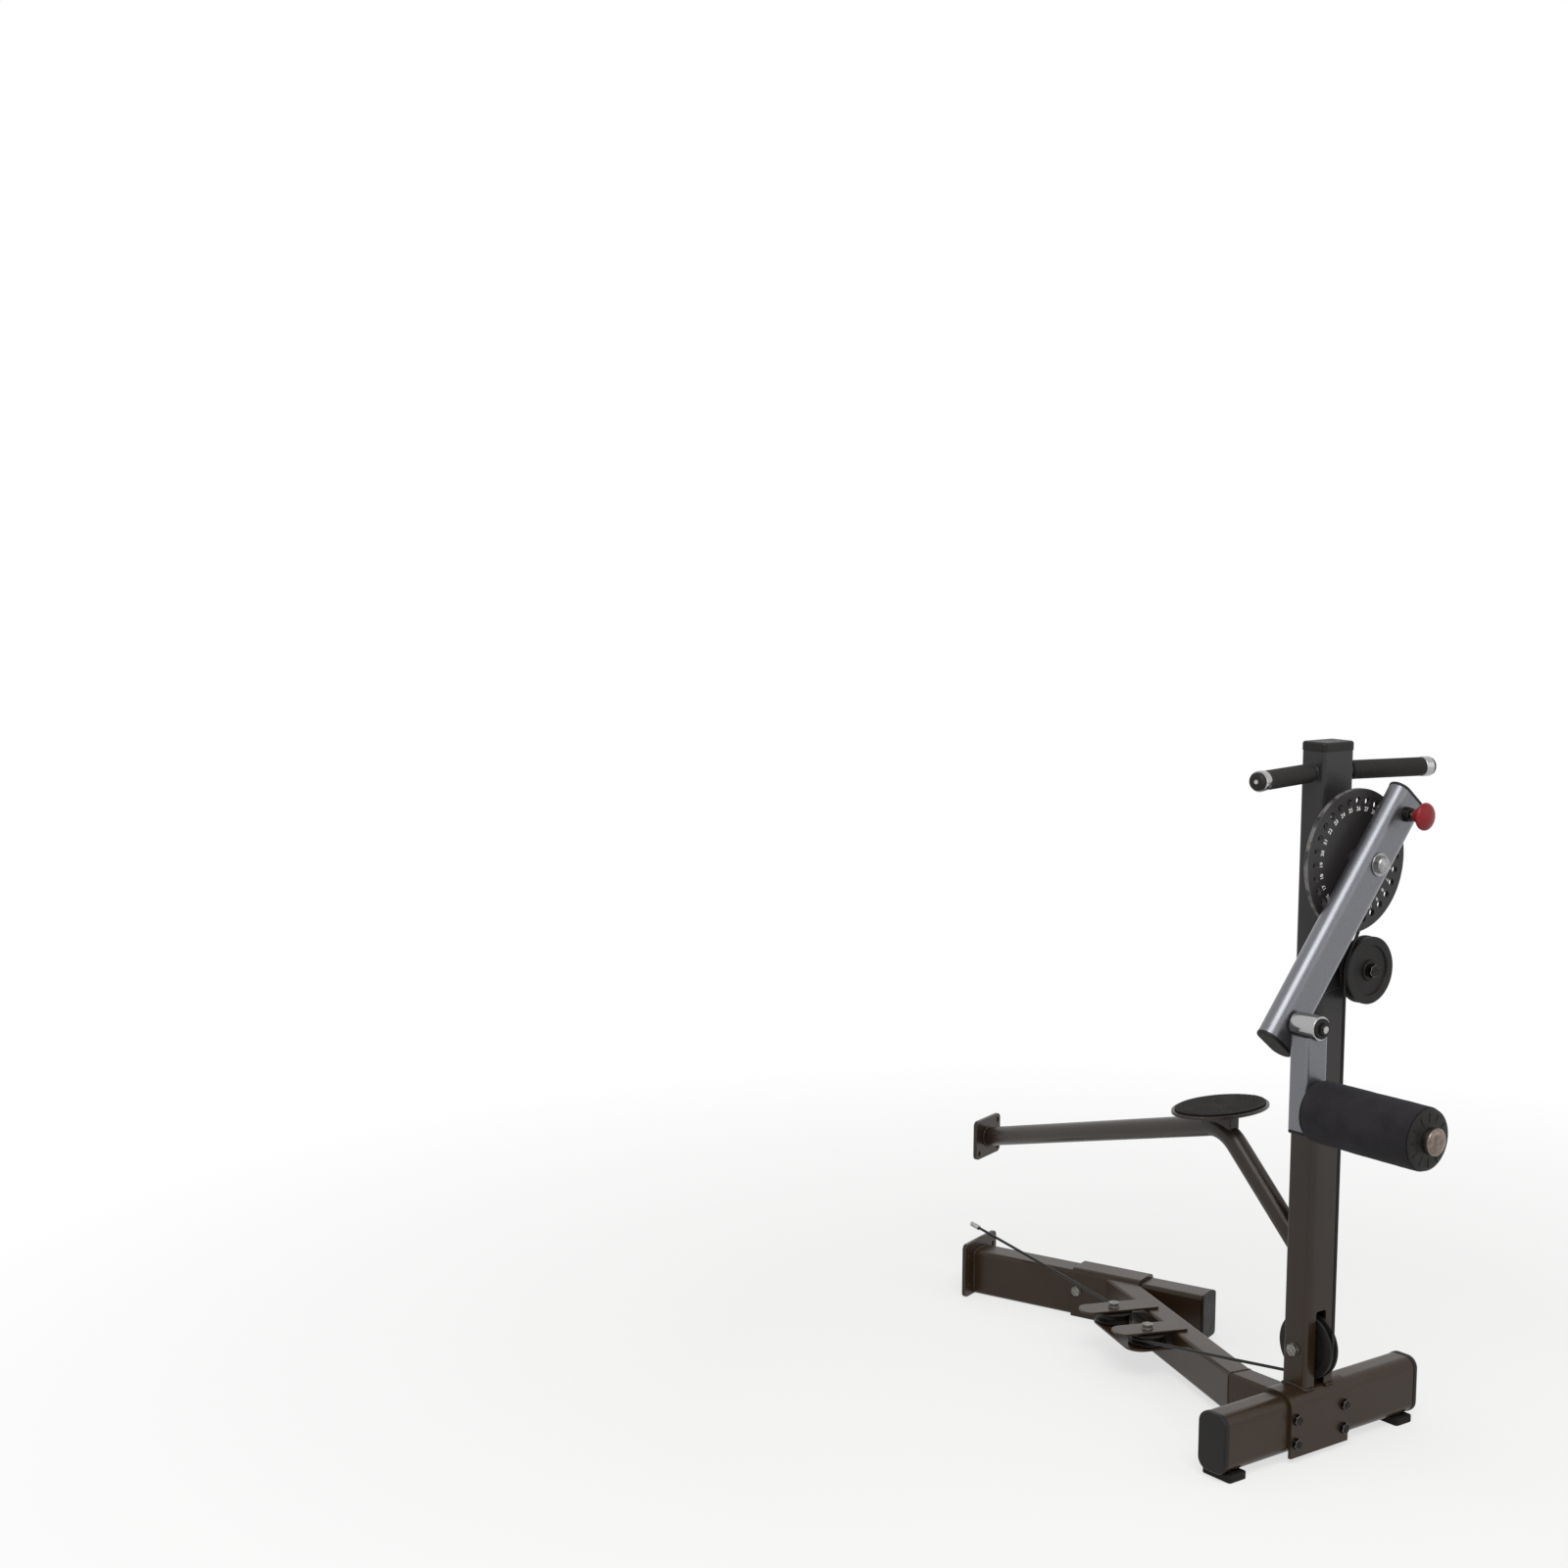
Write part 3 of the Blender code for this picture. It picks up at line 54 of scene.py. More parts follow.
BAR_X, BAR_Z, BAR_L, BAR_Y = 0.060, 0.100, 0.470, 0.011
FOOT_H, FOOT_L = 0.014, 0.042
SADDLE_T, SADDLE_L, SADDLE_BOLT_Y, SADDLE_Y = 0.006, 0.145, 0.060, -0.0065
BOLT_LOW, BOLT_HIGH = 0.021, 0.063
POST_X, POST_Y, POST_TOP = 0.050, 0.075, 1.205
BAR_TOP = FOOT_H + BAR_Z
POST_Z0 = BAR_TOP + SADDLE_T + 2 * FIT

RAIL_Y, RAIL_Z, BEND_X = 0.050, 0.075, -0.153
BASE_W, BASE_H, BASE_LEN = 0.060, 0.090, 0.500
BASE_END = Vector((-0.480, 0.263, 0.0))
JUNCTION_BOLT_Z = 0.053
FLANGE_T, FLANGE_CORNER, FLANGE_HOLE_R = 0.008, 0.010, 0.0055
BASE_TURN, RAIL_TURN = math.radians(20.0), math.radians(20.5)
BASE_DIR = Vector((math.cos(BASE_TURN), math.sin(BASE_TURN), 0.0))
BASE_NRM = Vector((-math.sin(BASE_TURN), math.cos(BASE_TURN), 0.0))
BASE_START = BASE_END - BASE_DIR * BASE_LEN
RAIL_DIR = Vector((-math.cos(RAIL_TURN), math.sin(RAIL_TURN), 0.0))
RAIL_NRM = Vector((-math.sin(RAIL_TURN), -math.cos(RAIL_TURN), 0.0))
RAIL_BEND = Vector((BEND_X, 0.0, 0.0))

HANDLE_R, HANDLE_L, HANDLE_DROP = 0.0127, 0.178, 0.036
HANDLE_TURN = math.radians(13.0)
GRIP_R, GRIP_START, GRIP_END, GRIP_STEP = 0.016, 0.014, 0.162, 0.003
COLLAR_R, COLLAR_START, COLLAR_END = 0.017, 0.1623, 0.1785

BRACE_R, BRACE_BEND_R = 0.019, 0.075
BRACE_FOOT = Vector((-POST_X / 2 - FIT, 0.0, 0.348))
KNEE = Vector((-0.205, 0.0, 0.524))
BRACE_HOST = BASE_START + BASE_NRM * 0.024 + Z * 0.318
PLATE_A, PLATE_B, PLATE_T = 0.105, 0.064, 0.006
PLATE_AT = Vector((KNEE.x - 0.012, 0.001, KNEE.z + BRACE_R + 0.006))
PAD_IN, PAD_T = 0.006, 0.0037

CABLE_D, ROPE_R, SMALL_ROPE_R, RIM_OVER = 0.0055, 0.052, 0.030, 0.005
LOW_Z = 0.183
FLAT_Z = BASE_H + FIT - 0.0125
FLAT_1 = Vector((-0.520, 0.050, FLAT_Z))
FLAT_2 = Vector((-0.398, 0.017, FLAT_Z))
FORK_T, FORK_W, FORK_GAP, FORK_REACH, SHELF_REACH = 0.004, 0.050, 0.0125, 0.068, 0.092
CABLE_START = Vector((-0.978, 0.1105, 0.120))
ANCHOR, CAM_R = 118.0, 0.086

PIVOT = Vector((0.0, 0.0, POST_TOP - 0.178))
IDLER = Vector((ROPE_R, ROPE_R, PIVOT.z - 0.190))
DRUM_X0, DRUM_X1 = ROPE_R - 0.0075, ROPE_R + 0.0075
DISC_R, DISC_T, HOLE_RING, HOLE_N, HOLE_R = 0.120, 0.008, 0.100, 28, 0.006
NUMBER_SIZE, NUMBER_RING = 0.0098, 0.0865
DISC_X0 = DRUM_X1 + FIT
DISC_X1 = DISC_X0 + DISC_T
ARM_W, ARM_T, ARM_X0 = 0.076, 0.038, 0.077
ARM_X1 = ARM_X0 + ARM_T
ARM_UP, ARM_DOWN, LINK_D = 0.132, 0.346, 0.306
ARM_TILT = math.radians(38.7)
UP = Vector((0.0, math.sin(ARM_TILT), math.cos(ARM_TILT)))
SIDE = Vector((0.0, math.cos(ARM_TILT), -math.sin(ARM_TILT)))
PIN = PIVOT + UP * HOLE_RING
LINK_PIVOT = PIVOT - UP * LINK_D
SLEEVE_X0 = ARM_X1 + 0.0036
SLEEVE_X1 = SLEEVE_X0 + 0.050
LINK_XC = (SLEEVE_X0 + SLEEVE_X1) / 2
LINK_X, LINK_Y = 0.038, 0.050
SLEEVE_R, SLEEVE_BORE = 0.020, 0.0063
KNOB_R, KNOB_HALF, PIN_R, NECK_R = 0.023, 0.0095, 0.005, 0.011
ROLLER = Vector((0.0, LINK_PIVOT.y, LINK_PIVOT.z - 0.132))
FOAM_R = 0.050
FOAM_X0 = LINK_XC + LINK_X / 2 + 0.0092
FOAM_X1 = FOAM_X0 + 0.206
AXLE_BORE, HUB_CAP_R = 0.0083, 0.0215


def new_object(name, data):
    """An object in the scene with that mesh, curve, camera or lamp."""
    made = bpy.data.objects.new(name, data)
    scene.collection.objects.link(made)
    return made


# ------------------------------------------------------------------ camera

VIEW_FROM = Vector((2.88878, -3.05672, 1.59311))
VIEW_RIGHT = Vector((0.593815, 0.804580, 0.005960))
VIEW_UP = Vector((-0.096241, 0.063672, 0.993319))
VIEW_BACK = Vector((0.798825, -0.590421, 0.115243))
eye = bpy.data.cameras.new("camera")
eye.sensor_width = 36.0
eye.lens = 54.02
eye.clip_end = 60.0
camera = new_object("camera", eye)
camera.matrix_world = Matrix.Translation(VIEW_FROM) @ Matrix(
    (VIEW_RIGHT, VIEW_UP, VIEW_BACK)).transposed().to_4x4()
scene.camera = camera

# ------------------------------------------------------------------ finishes


def srgb(code):
    """Linear colour of an sRGB hex value."""
    parts = [int(code[k:k + 2], 16) / 255.0 for k in (1, 3, 5)]
    return [p / 12.92 if p <= 0.04045 else ((p + 0.055) / 1.055) ** 2.4 for p in parts] + [1.0]


def add(tree, kind, settings=(), values=(), links=()):
    """A node with its settings, socket values and links."""
    made = tree.nodes.new(kind)
    for name, value in dict(settings).items():
        setattr(made, name, value)
    for name, value in dict(values).items():
        made.inputs[name].default_value = value
    for name, socket in dict(links).items():
        tree.links.new(socket, made.inputs[name])
    return made


def new_finish(name, colour, roughness, metallic=0.0, **sockets):
    """A material with its even values on the shader's own sockets."""
    finish = bpy.data.materials.new(name)
    finish.use_nodes = True
    surface = finish.node_tree.nodes["Principled BSDF"]
    surface.inputs["Base Color"].default_value = srgb(colour)
    surface.inputs["Roughness"].default_value = roughness
    surface.inputs["Metallic"].default_value = metallic
    for socket, value in sockets.items():
        surface.inputs[socket.replace("_", " ")].default_value = value
    where = add(finish.node_tree, "ShaderNodeTexCoord").outputs["Object"]
    return finish, finish.node_tree, surface, where


def blend_colours(tree, share, a, b):
    """Colour between a and b, each a hex value or a socket."""
    mix = add(tree, "ShaderNodeMix", {"data_type": "RGBA"}, links={0: share})
    for place, colour in ((6, a), (7, b)):
        if isinstance(colour, str):
            mix.inputs[place].default_value = srgb(colour)
        else:
            tree.links.new(colour, mix.inputs[place])
    return mix.outputs[2]


def spread(tree, value, low, high, first, last):
    """A value from low to high turned into one from first to last."""
    return add(tree, "ShaderNodeMapRange",
               values={"From Min": low, "From Max": high, "To Min": first, "To Max": last},
               links={"Value": value}).outputs["Result"]


def times(tree, a, b):
    """A value times another value or a plain number."""
    mul = add(tree, "ShaderNodeMath", {"operation": "MULTIPLY"}, links={0: a})
    if isinstance(b, float):
        mul.inputs[1].default_value = b
    else:
        tree.links.new(b, mul.inputs[1])
    return mul.outputs["Value"]


def noise_over(tree, where, scale, detail):
    """Soft noise from 0 to 1 over the object."""
    return add(tree, "ShaderNodeTexNoise", values={"Scale": scale, "Detail": detail},
               links={"Vector": where}).outputs["Fac"]


def wear_and_rim_highlight_share(tree):
    """How far each face is rubbed, as marked on the mesh; on the range dial's rim the mark is a
    painted highlight.
    """
    return add(tree, "ShaderNodeAttribute", {"attribute_name": "wear_and_rim_highlight"}).outputs["Fac"]


def drive(tree, surface, **sockets):
    """Link node outputs to the shader's sockets."""
    for name, output in sockets.items():
        tree.links.new(output, surface.inputs[name.replace("_", " ")])


def relief(tree, surface, height, strength, distance):
    """Bump the surface by a height."""
    bump = add(tree, "ShaderNodeBump", values={"Strength": strength, "Distance": distance},
               links={"Height": height})
    drive(tree, surface, Normal=bump.outputs["Normal"])


def powder_coat():
    """Charcoal powder coat on steel: a half gloss skin with orange peel, faintly clouded,
    browner towards the floor as a painted warm reflection of the floor, and rubbed a little
    lighter along its edges; the range dial's rim is lightened all round as a painted highlight."""
    finish, tree, surface, where = new_finish(
        "powder_coat_charcoal", "#2d2b2b", 0.3, Specular_IOR_Level=0.28)
    clouds = noise_over(tree, where, 7.0, 4.0)
    height = add(tree, "ShaderNodeSeparateXYZ", links={"Vector": where}).outputs["Z"]
    # Painted warm reflection of the floor: the colour turns browner towards the floor, by height.
    floor_reflection = spread(tree, height, 0.80, 0.12, 0.0, 1.0)
    colour = blend_colours(tree, floor_reflection, "#2b2a2c", "#312417")
    pale = times(tree, spread(tree, clouds, 0.35, 0.7, 0.0, 1.0), 0.2)
    colour = blend_colours(tree, pale, colour, "#40352e")
    # The rub also lightens the range dial's whole rim, where it is a painted highlight.
    rub_and_rim_highlight = spread(tree, noise_over(tree, where, 55.0, 3.0), 0.38, 0.62, 0.0, 0.28)
    colour = blend_colours(tree, times(tree, wear_and_rim_highlight_share(tree), rub_and_rim_highlight), colour, "#6b6866")
    drive(tree, surface, Base_Color=colour,
          Roughness=spread(tree, clouds, 0.3, 0.7, 0.25, 0.35))
    # Orange peel is about 1.2 mm across on the real paint; 3 mm here, so that it shows
    relief(tree, surface, noise_over(tree, where, 330.0, 1.0), 0.12, 0.0004)
    return finish


def silver_lacquer():
    """Silver metallic lacquer on steel tube: aluminium flakes under clear coat, a little
    cloudy, and lighter where it is rubbed."""
    finish, tree, surface, where = new_finish(
        "silver_metallic_lacquer", "#6e6d70", 0.35, 0.8, Coat_Weight=0.4, Coat_Roughness=0.22)
    # Flakes are under 0.1 mm; drawn at 1.5 mm and faint, as a slow sparkle
    flakes = noise_over(tree, where, 650.0, 2.0)
    clouds = noise_over(tree, where, 12.0, 3.0)
    colour = blend_colours(tree, spread(tree, flakes, 0.3, 0.7, 0.0, 1.0), "#66676c", "#75767b")
    colour = blend_colours(tree, times(tree, wear_and_rim_highlight_share(tree), 0.4), colour, "#a9aaad")
    drive(tree, surface, Base_Color=colour,
          Roughness=spread(tree, clouds, 0.3, 0.7, 0.32, 0.38))
    relief(tree, surface, flakes, 0.05, 0.0003)
    return finish


def chrome_plate():
    """Bright chrome on turned steel, a mirror with a few finger marks."""
    finish, tree, surface, where = new_finish("chrome_plate", "#a9a8a8", 0.14, 1.0)
    marks = noise_over(tree, where, 45.0, 4.0)
    drive(tree, surface, Roughness=spread(tree, marks, 0.35, 0.7, 0.1, 0.26))
    return finish


def zinc_plate(name, bright, dull, low, high):
    """Thin plating on steel, zinc, nickel or black oxide: patchy, with rubbed corners."""
    finish, tree, surface, where = new_finish(name, bright, low, 1.0)
    patches = noise_over(tree, where, 160.0, 4.0)
    colour = blend_colours(tree, spread(tree, patches, 0.35, 0.65, 0.0, 1.0), bright, dull)
    colour = blend_colours(tree, times(tree, wear_and_rim_highlight_share(tree), 0.5), colour, "#e0dfdc")
    drive(tree, surface, Base_Color=colour,
          Roughness=spread(tree, patches, 0.3, 0.7, low, high))
    return finish


def moulded_plastic(name, colour, light, low, high, grain=1100.0, depth=0.05):
    """Injection moulded plastic or rubber: even colour, spark-eroded grain, dull bloom."""
    finish, tree, surface, where = new_finish(name, colour, low, Specular_IOR_Level=0.25)
    bloom = noise_over(tree, where, 30.0, 4.0)
    mixed = blend_colours(tree, spread(tree, bloom, 0.35, 0.75, 0.0, 0.6), colour, light)
    mixed = blend_colours(tree, times(tree, wear_and_rim_highlight_share(tree), 0.35), mixed, light)
    drive(tree, surface, Base_Color=mixed, Roughness=spread(tree, bloom, 0.3, 0.7, low, high))
    relief(tree, surface, noise_over(tree, where, grain, 2.0), depth * 4, 0.0003)
    return finish


def cell_foam():
    """Closed-cell nitrile foam sleeve: matt charcoal skin, fine open cells with painted shade in
    them, soft mottling.
    """
    finish, tree, surface, where = new_finish(
        "nitrile_foam_sleeve", "#28262a", 0.9, Specular_IOR_Level=0.2)
    # Cells are about 0.5 mm; drawn at 2 mm
    cells = add(tree, "ShaderNodeTexVoronoi", values={"Scale": 520.0},
                links={"Vector": where}).outputs["Distance"]
    clouds = noise_over(tree, where, 24.0, 5.0)
    colour = blend_colours(tree, spread(tree, clouds, 0.3, 0.7, 0.0, 1.0), "#211f21", "#2c2a2e")
    # Painted shade: the colour darkens towards the middle of each open cell.
    pore_shade = spread(tree, cells, 0.0, 0.5, 0.5, 0.0)
    drive(tree, surface, Base_Color=blend_colours(tree, pore_shade, colour, "#151314"))
    relief(tree, surface, cells, 0.35, 0.0006)
    return finish


PAINT = powder_coat()
SILVER = silver_lacquer()
CHROME = chrome_plate()
ZINC = zinc_plate("bright_zinc_plate", "#b9b8b6", "#8f8d8a", 0.26, 0.42)
SATIN_ZINC = zinc_plate("satin_zinc_plate", "#a3a2a3", "#8b8a8b", 0.22, 0.34)
DULL_ZINC = zinc_plate("weathered_zinc_plate", "#8d8a86", "#67645f", 0.36, 0.52)
NICKEL = zinc_plate("satin_nickel_plate", "#857970", "#6b6058", 0.24, 0.36)
BLACK_OXIDE = zinc_plate("black_oxide_steel", "#34312f", "#201e1d", 0.34, 0.5)
CAP_PLASTIC = moulded_plastic("polyethylene_end_cap_black", "#141211", "#221f1d", 0.42, 0.58)
NYLON = moulded_plastic("glass_filled_nylon_black", "#120f0e", "#1b1816", 0.42, 0.56)
RUBBER = moulded_plastic("moulded_rubber_black", "#120f0e", "#1d1917", 0.72, 0.88, 700.0, 0.1)
GRIP_RUBBER = moulded_plastic("grip_rubber_black", "#1d1a19", "#2b2726", 0.6, 0.78, 800.0, 0.1)
KNOB_RED = moulded_plastic("phenolic_knob_red", "#74131a", "#8c1e23", 0.28, 0.4, 400.0, 0.02)
JACKET = moulded_plastic("nylon_cable_jacket_black", "#121212", "#232222", 0.28, 0.4)
FOAM = cell_foam()
INK = moulded_plastic("screen_print_ink_white", "#e4e2dc", "#cfccc5", 0.5, 0.62, 900.0, 0.02)

# ------------------------------------------------------------------ shop tools


def bevel(bm, geom, width, steps, affect="EDGES", **more):
    """Round edges or corners in a number of steps."""
    return bmesh.ops.bevel(bm, geom=geom, offset=width, offset_type="OFFSET", segments=steps,
                           profile=0.5, affect=affect, material=-1, **more)


def section(wide, high, corner, steps=6, wall=0.0):
    """Flat rounded rectangle about the origin, or its wall where a tube is hollow."""
    bm = bmesh.new()
    bmesh.ops.create_grid(bm, x_segments=1, y_segments=1, size=0.5)
    bmesh.ops.scale(bm, vec=(wide, high, 1.0), verts=bm.verts)
    bevel(bm, bm.verts[:], corner, steps, "VERTICES")
    if wall:
        middle = bm.faces[:]
        bmesh.ops.inset_region(bm, faces=middle, thickness=wall, use_even_offset=True,
                               use_boundary=True)
        bmesh.ops.delete(bm, geom=middle, context="FACES")
    return bm


def round_section(r, steps=40):
    """Flat disc about the origin."""
    bm = bmesh.new()
    bmesh.ops.create_circle(bm, cap_ends=True, segments=steps, radius=r)
    return bm


def pull(bm, faces, move):
    """Pull faces out along move and give the faces at the far end."""
    start = [f for f in faces if any(len(e.link_faces) > 1 for e in f.edges)]
    made = bmesh.ops.extrude_face_region(bm, geom=faces)["geom"]
    ends = [g for g in made if isinstance(g, bmesh.types.BMFace)]
    bmesh.ops.translate(bm, vec=move, verts=list({v for f in ends for v in f.verts}))
    inside = [f for f in start if f.is_valid and all(len(e.link_faces) > 2 for e in f.edges)]
    bmesh.ops.delete(bm, geom=inside, context="FACES")
    return ends


def bend(bm, faces, centre, axis, angle, steps):
    """Carry faces around an axis, as a tube or plate is bent."""
    for _ in range(steps):
        faces = pull(bm, faces, Vector((0, 0, 0)))
        bmesh.ops.rotate(bm, cent=centre, matrix=Matrix.Rotation(angle / steps, 3, axis),
                         verts=list({v for f in faces for v in f.verts}))
    return faces


def stand(bm, at, ex, ey):
    """Put a shape drawn in its own x and y at a place, along ex and ey."""
    turn = Matrix((ex, ey, ex.cross(ey))).transposed().to_4x4()
    bmesh.ops.transform(bm, matrix=Matrix.Translation(at) @ turn, verts=bm.verts)
    return bm


def bar(shape, start, end, across):
    """A drawn section pulled from start to end; its first size lies along across."""
    along = end - start
    pull(shape, shape.faces[:], Vector((0, 0, along.length)))
    return stand(shape, start, across, along.normalized().cross(across))


def turned(profile, at, axis, steps=48):
    """A profile of (along, radius) points spun on the lathe about an axis."""
    bm = bmesh.new()
    dots = [bm.verts.new((r, 0, a)) for a, r in profile]
    line = [bm.edges.new(pair) for pair in zip(dots, dots[1:] + dots[:1])
            if pair[0].co.x > 0 or pair[1].co.x > 0]
    bmesh.ops.spin(bm, geom=dots + line, cent=(0, 0, 0), axis=(0, 0, 1), dvec=(0, 0, 0),
                   angle=2 * math.pi, steps=steps, use_merge=True, use_duplicate=False)
    bmesh.ops.remove_doubles(bm, verts=bm.verts, dist=1e-6)
    axis = Vector(axis).normalized()
    ex = axis.orthogonal().normalized()
    return stand(bm, Vector(at), ex, axis.cross(ex))


def gather(*shapes):
    """Several shapes in one mesh."""
    out = bmesh.new()
    for shape in shapes:
        mesh = bpy.data.meshes.new("shape")
        shape.to_mesh(mesh)
        shape.free()
        out.from_mesh(mesh)
        bpy.data.meshes.remove(mesh)
    return out


def painted(shape, place):
    """The shape with the finish at that place in its piece's list."""
    for face in shape.faces:
        face.material_index = place
    return shape


def trim(bm, point, normal):
    """Saw off what lies beyond a plane and close the cut."""
    sawn = bmesh.ops.bisect_plane(bm, geom=bm.verts[:] + bm.edges[:] + bm.faces[:],
                                  plane_co=point, plane_no=normal, clear_outer=True)
    edges = [g for g in sawn["geom_cut"] if isinstance(g, bmesh.types.BMEdge)]
    bmesh.ops.edgeloop_fill(bm, edges=edges)
    return bm


def drill(bm, cutter):
    """Take the closed cutter away from the shape."""
    spare = []
    for shape in (bm, cutter):
        bmesh.ops.recalc_face_normals(shape, faces=shape.faces)
        mesh = bpy.data.meshes.new("drill")
        shape.to_mesh(mesh)
        shape.free()
        spare.append(new_object("drill", mesh))
    cut = spare[0].modifiers.new("cut", "BOOLEAN")
    cut.operation = "DIFFERENCE"
    cut.solver = "EXACT"
    cut.object = spare[1]
    out = bmesh.new()
    out.from_object(spare[0], bpy.context.evaluated_depsgraph_get())
    for thing in spare:
        mesh = thing.data
        bpy.data.objects.remove(thing)
        bpy.data.meshes.remove(mesh)
    return out


def break_edges(bm, width, least=40.0, most=180.0, segments=2, wear=1.0):
    """Round the sharp edges and mark how far they wear."""
    wear_and_rim_highlight = bm.faces.layers.float.get("wear_and_rim_highlight") or bm.faces.layers.float.new("wear_and_rim_highlight")
    edges = [e for e in bm.edges if len(e.link_faces) == 2
             and math.radians(least) < e.calc_face_angle() < math.radians(most)]
    for face in bevel(bm, edges, width, segments, clamp_overlap=True)["faces"]:
        face[wear_and_rim_highlight] = wear
    return bm


def finish_piece(name, bm, finishes, body, slot, *nodes, sharp=50.0):
    """Put a shape in its place on a body, in its finishes, instead of solids."""
    bmesh.ops.recalc_face_normals(bm, faces=bm.faces)
    bmesh.ops.translate(bm, vec=POST_FOOT, verts=bm.verts)
    mesh = bpy.data.meshes.new(name)
    bm.to_mesh(mesh)
    bm.free()
    mesh.shade_smooth()
    mesh.set_sharp_from_angle(angle=math.radians(sharp))
    for finish in finishes:
        mesh.materials.append(finish)
    piece = new_object(name, mesh)
    even = piece.modifiers.new("even shading", "WEIGHTED_NORMAL")
    even.keep_sharp = True
    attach(piece, body)
    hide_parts(*nodes)
    return piece


def hit(p, d, q, n):
    """Where the line from p along d meets the plane through q with normal n."""
    return p + d * ((q - p).dot(n) / d.dot(n))


def ring_of(centre, ex, ey, rx, ry, count):
    """Points round an oval."""
    return [centre + ex * (rx * math.cos(2 * math.pi * k / count))
            + ey * (ry * math.sin(2 * math.pi * k / count)) for k in range(count)]


def shape_of(curve, close):
    """The mesh of a curve or of lettering, with points nearer than close joined."""
    thing = bpy.data.objects.new("spare", curve)
    mesh = bpy.data.meshes.new_from_object(thing)
    bm = bmesh.new()
    bm.from_mesh(mesh)
    bmesh.ops.remove_doubles(bm, verts=bm.verts, dist=close)
    bpy.data.objects.remove(thing)
    bpy.data.curves.remove(curve)
    bpy.data.meshes.remove(mesh)
    return bm


def bead(points, closed=True, thick=BEAD):
    """A weld bead along points, rippled as the weld pool was moved on."""
    curve = bpy.data.curves.new("bead", "CURVE")
    curve.dimensions = "3D"
    curve.bevel_depth = thick
    curve.bevel_resolution = 2
    curve.use_fill_caps = not closed
    fine = []
    pairs = zip(points, points[1:] + points[:1]) if closed else zip(points, points[1:])
    for a, b in pairs:
        count = max(1, round((b - a).length / 0.0016))
        fine += [a.lerp(b, k / count) for k in range(count)]
    if not closed:
        fine.append(points[-1])
    spline = curve.splines.new("POLY")
    spline.points.add(len(fine) - 1)
    spline.use_cyclic_u = closed
    for k, (dot, p) in enumerate(zip(spline.points, fine)):
        dot.co = (*p, 1.0)
        dot.radius = 1.0 + 0.16 * math.cos(k * math.pi) + 0.08 * math.sin(k * 0.9)
    return shape_of(curve, 1e-6)


def outline_points(wide, high, corner, at, ex, ey):
    """Points round a rounded rectangle, for a bead."""
    points = []
    for cx, cy, first in ((1, 1, 0), (-1, 1, 90), (-1, -1, 180), (1, -1, 270)):
        for k in range(5):
            a = math.radians(first + 22.5 * k)
            points.append(at + ex * (cx * (wide / 2 - corner) + corner * math.cos(a))
                          + ey * (cy * (high / 2 - corner) + corner * math.sin(a)))
    return points


# ------------------------------------------------------------------ cable


def arc(centre, r, e1, e2, first, last, step=4.5):
    """Points of the cable round a wheel, from one angle to another in degrees."""
    count = max(1, round(abs(last - first) / step))
    out = []
    for k in range(count + 1):
        a = math.radians(first + (last - first) * k / count)
        out.append(centre + e1 * (r * math.cos(a)) + e2 * (r * math.sin(a)))
    return out


def touch_angle(p, c, r, side):
    """Angle about c at which a line from p touches the circle of radius r."""
    dx, dy = p[0] - c[0], p[1] - c[1]
    return math.degrees(math.atan2(dy, dx) + side * math.acos(r / math.hypot(dx, dy)))


def cable_route():
    """From the host gym over the flat pulleys, under the low pulley, up the post's front,
    over the idler and round the drum to its anchor."""
    into_1 = touch_angle(CABLE_START, FLAT_1, SMALL_ROPE_R, -1)
    gap = FLAT_2 - FLAT_1
    out_1 = math.degrees(math.atan2(gap.y, gap.x) + math.acos(2 * SMALL_ROPE_R / gap.length))
    into_2 = out_1 - 180.0
    out_2 = touch_angle((0, 0), FLAT_2, SMALL_ROPE_R, -1)
    a = math.radians(out_2)
    leave = FLAT_2 + Vector((math.cos(a), math.sin(a), 0)) * SMALL_ROPE_R
    rise = touch_angle((leave.x, leave.z), (0, LOW_Z), ROPE_R, 1)
    drop = PIVOT.z - IDLER.z
    leave_idler = math.degrees(math.atan2(drop, -ROPE_R)
                               + math.acos((ROPE_R + CAM_R) / math.hypot(ROPE_R, drop)))
    route = [CABLE_START]
    route += arc(FLAT_1, SMALL_ROPE_R, X, Y, into_1, out_1, 5.5)
    route += arc(FLAT_2, SMALL_ROPE_R, X, Y, into_2, out_2, 5.5)
    route += arc(Z * LOW_Z, ROPE_R, X, Z, rise, 0.0)
    route += arc(IDLER, ROPE_R, Y, Z, 180.0, leave_idler)
    route += arc(X * ROPE_R + PIVOT, CAM_R, Y, Z, leave_idler - 180.0, ANCHOR, 3.5)
    return route


ROUTE = cable_route()
cable_line = bpy.data.curves.new("drive_cable", "CURVE")
cable_line.dimensions = "3D"
cable_line.bevel_depth = CABLE_D / 2
cable_line.bevel_resolution = 4
cable_line.use_fill_caps = True
strand = cable_line.splines.new("POLY")
strand.points.add(len(ROUTE) - 1)
for dot, place in zip(strand.points, reversed(ROUTE)):
    dot.co = (*(place + POST_FOOT), 1.0)
strand.use_smooth = True
cable_line.materials.append(JACKET)
drive_cable = new_object("drive_cable", cable_line)
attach(drive_cable, "machine_frame")
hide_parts("cable")

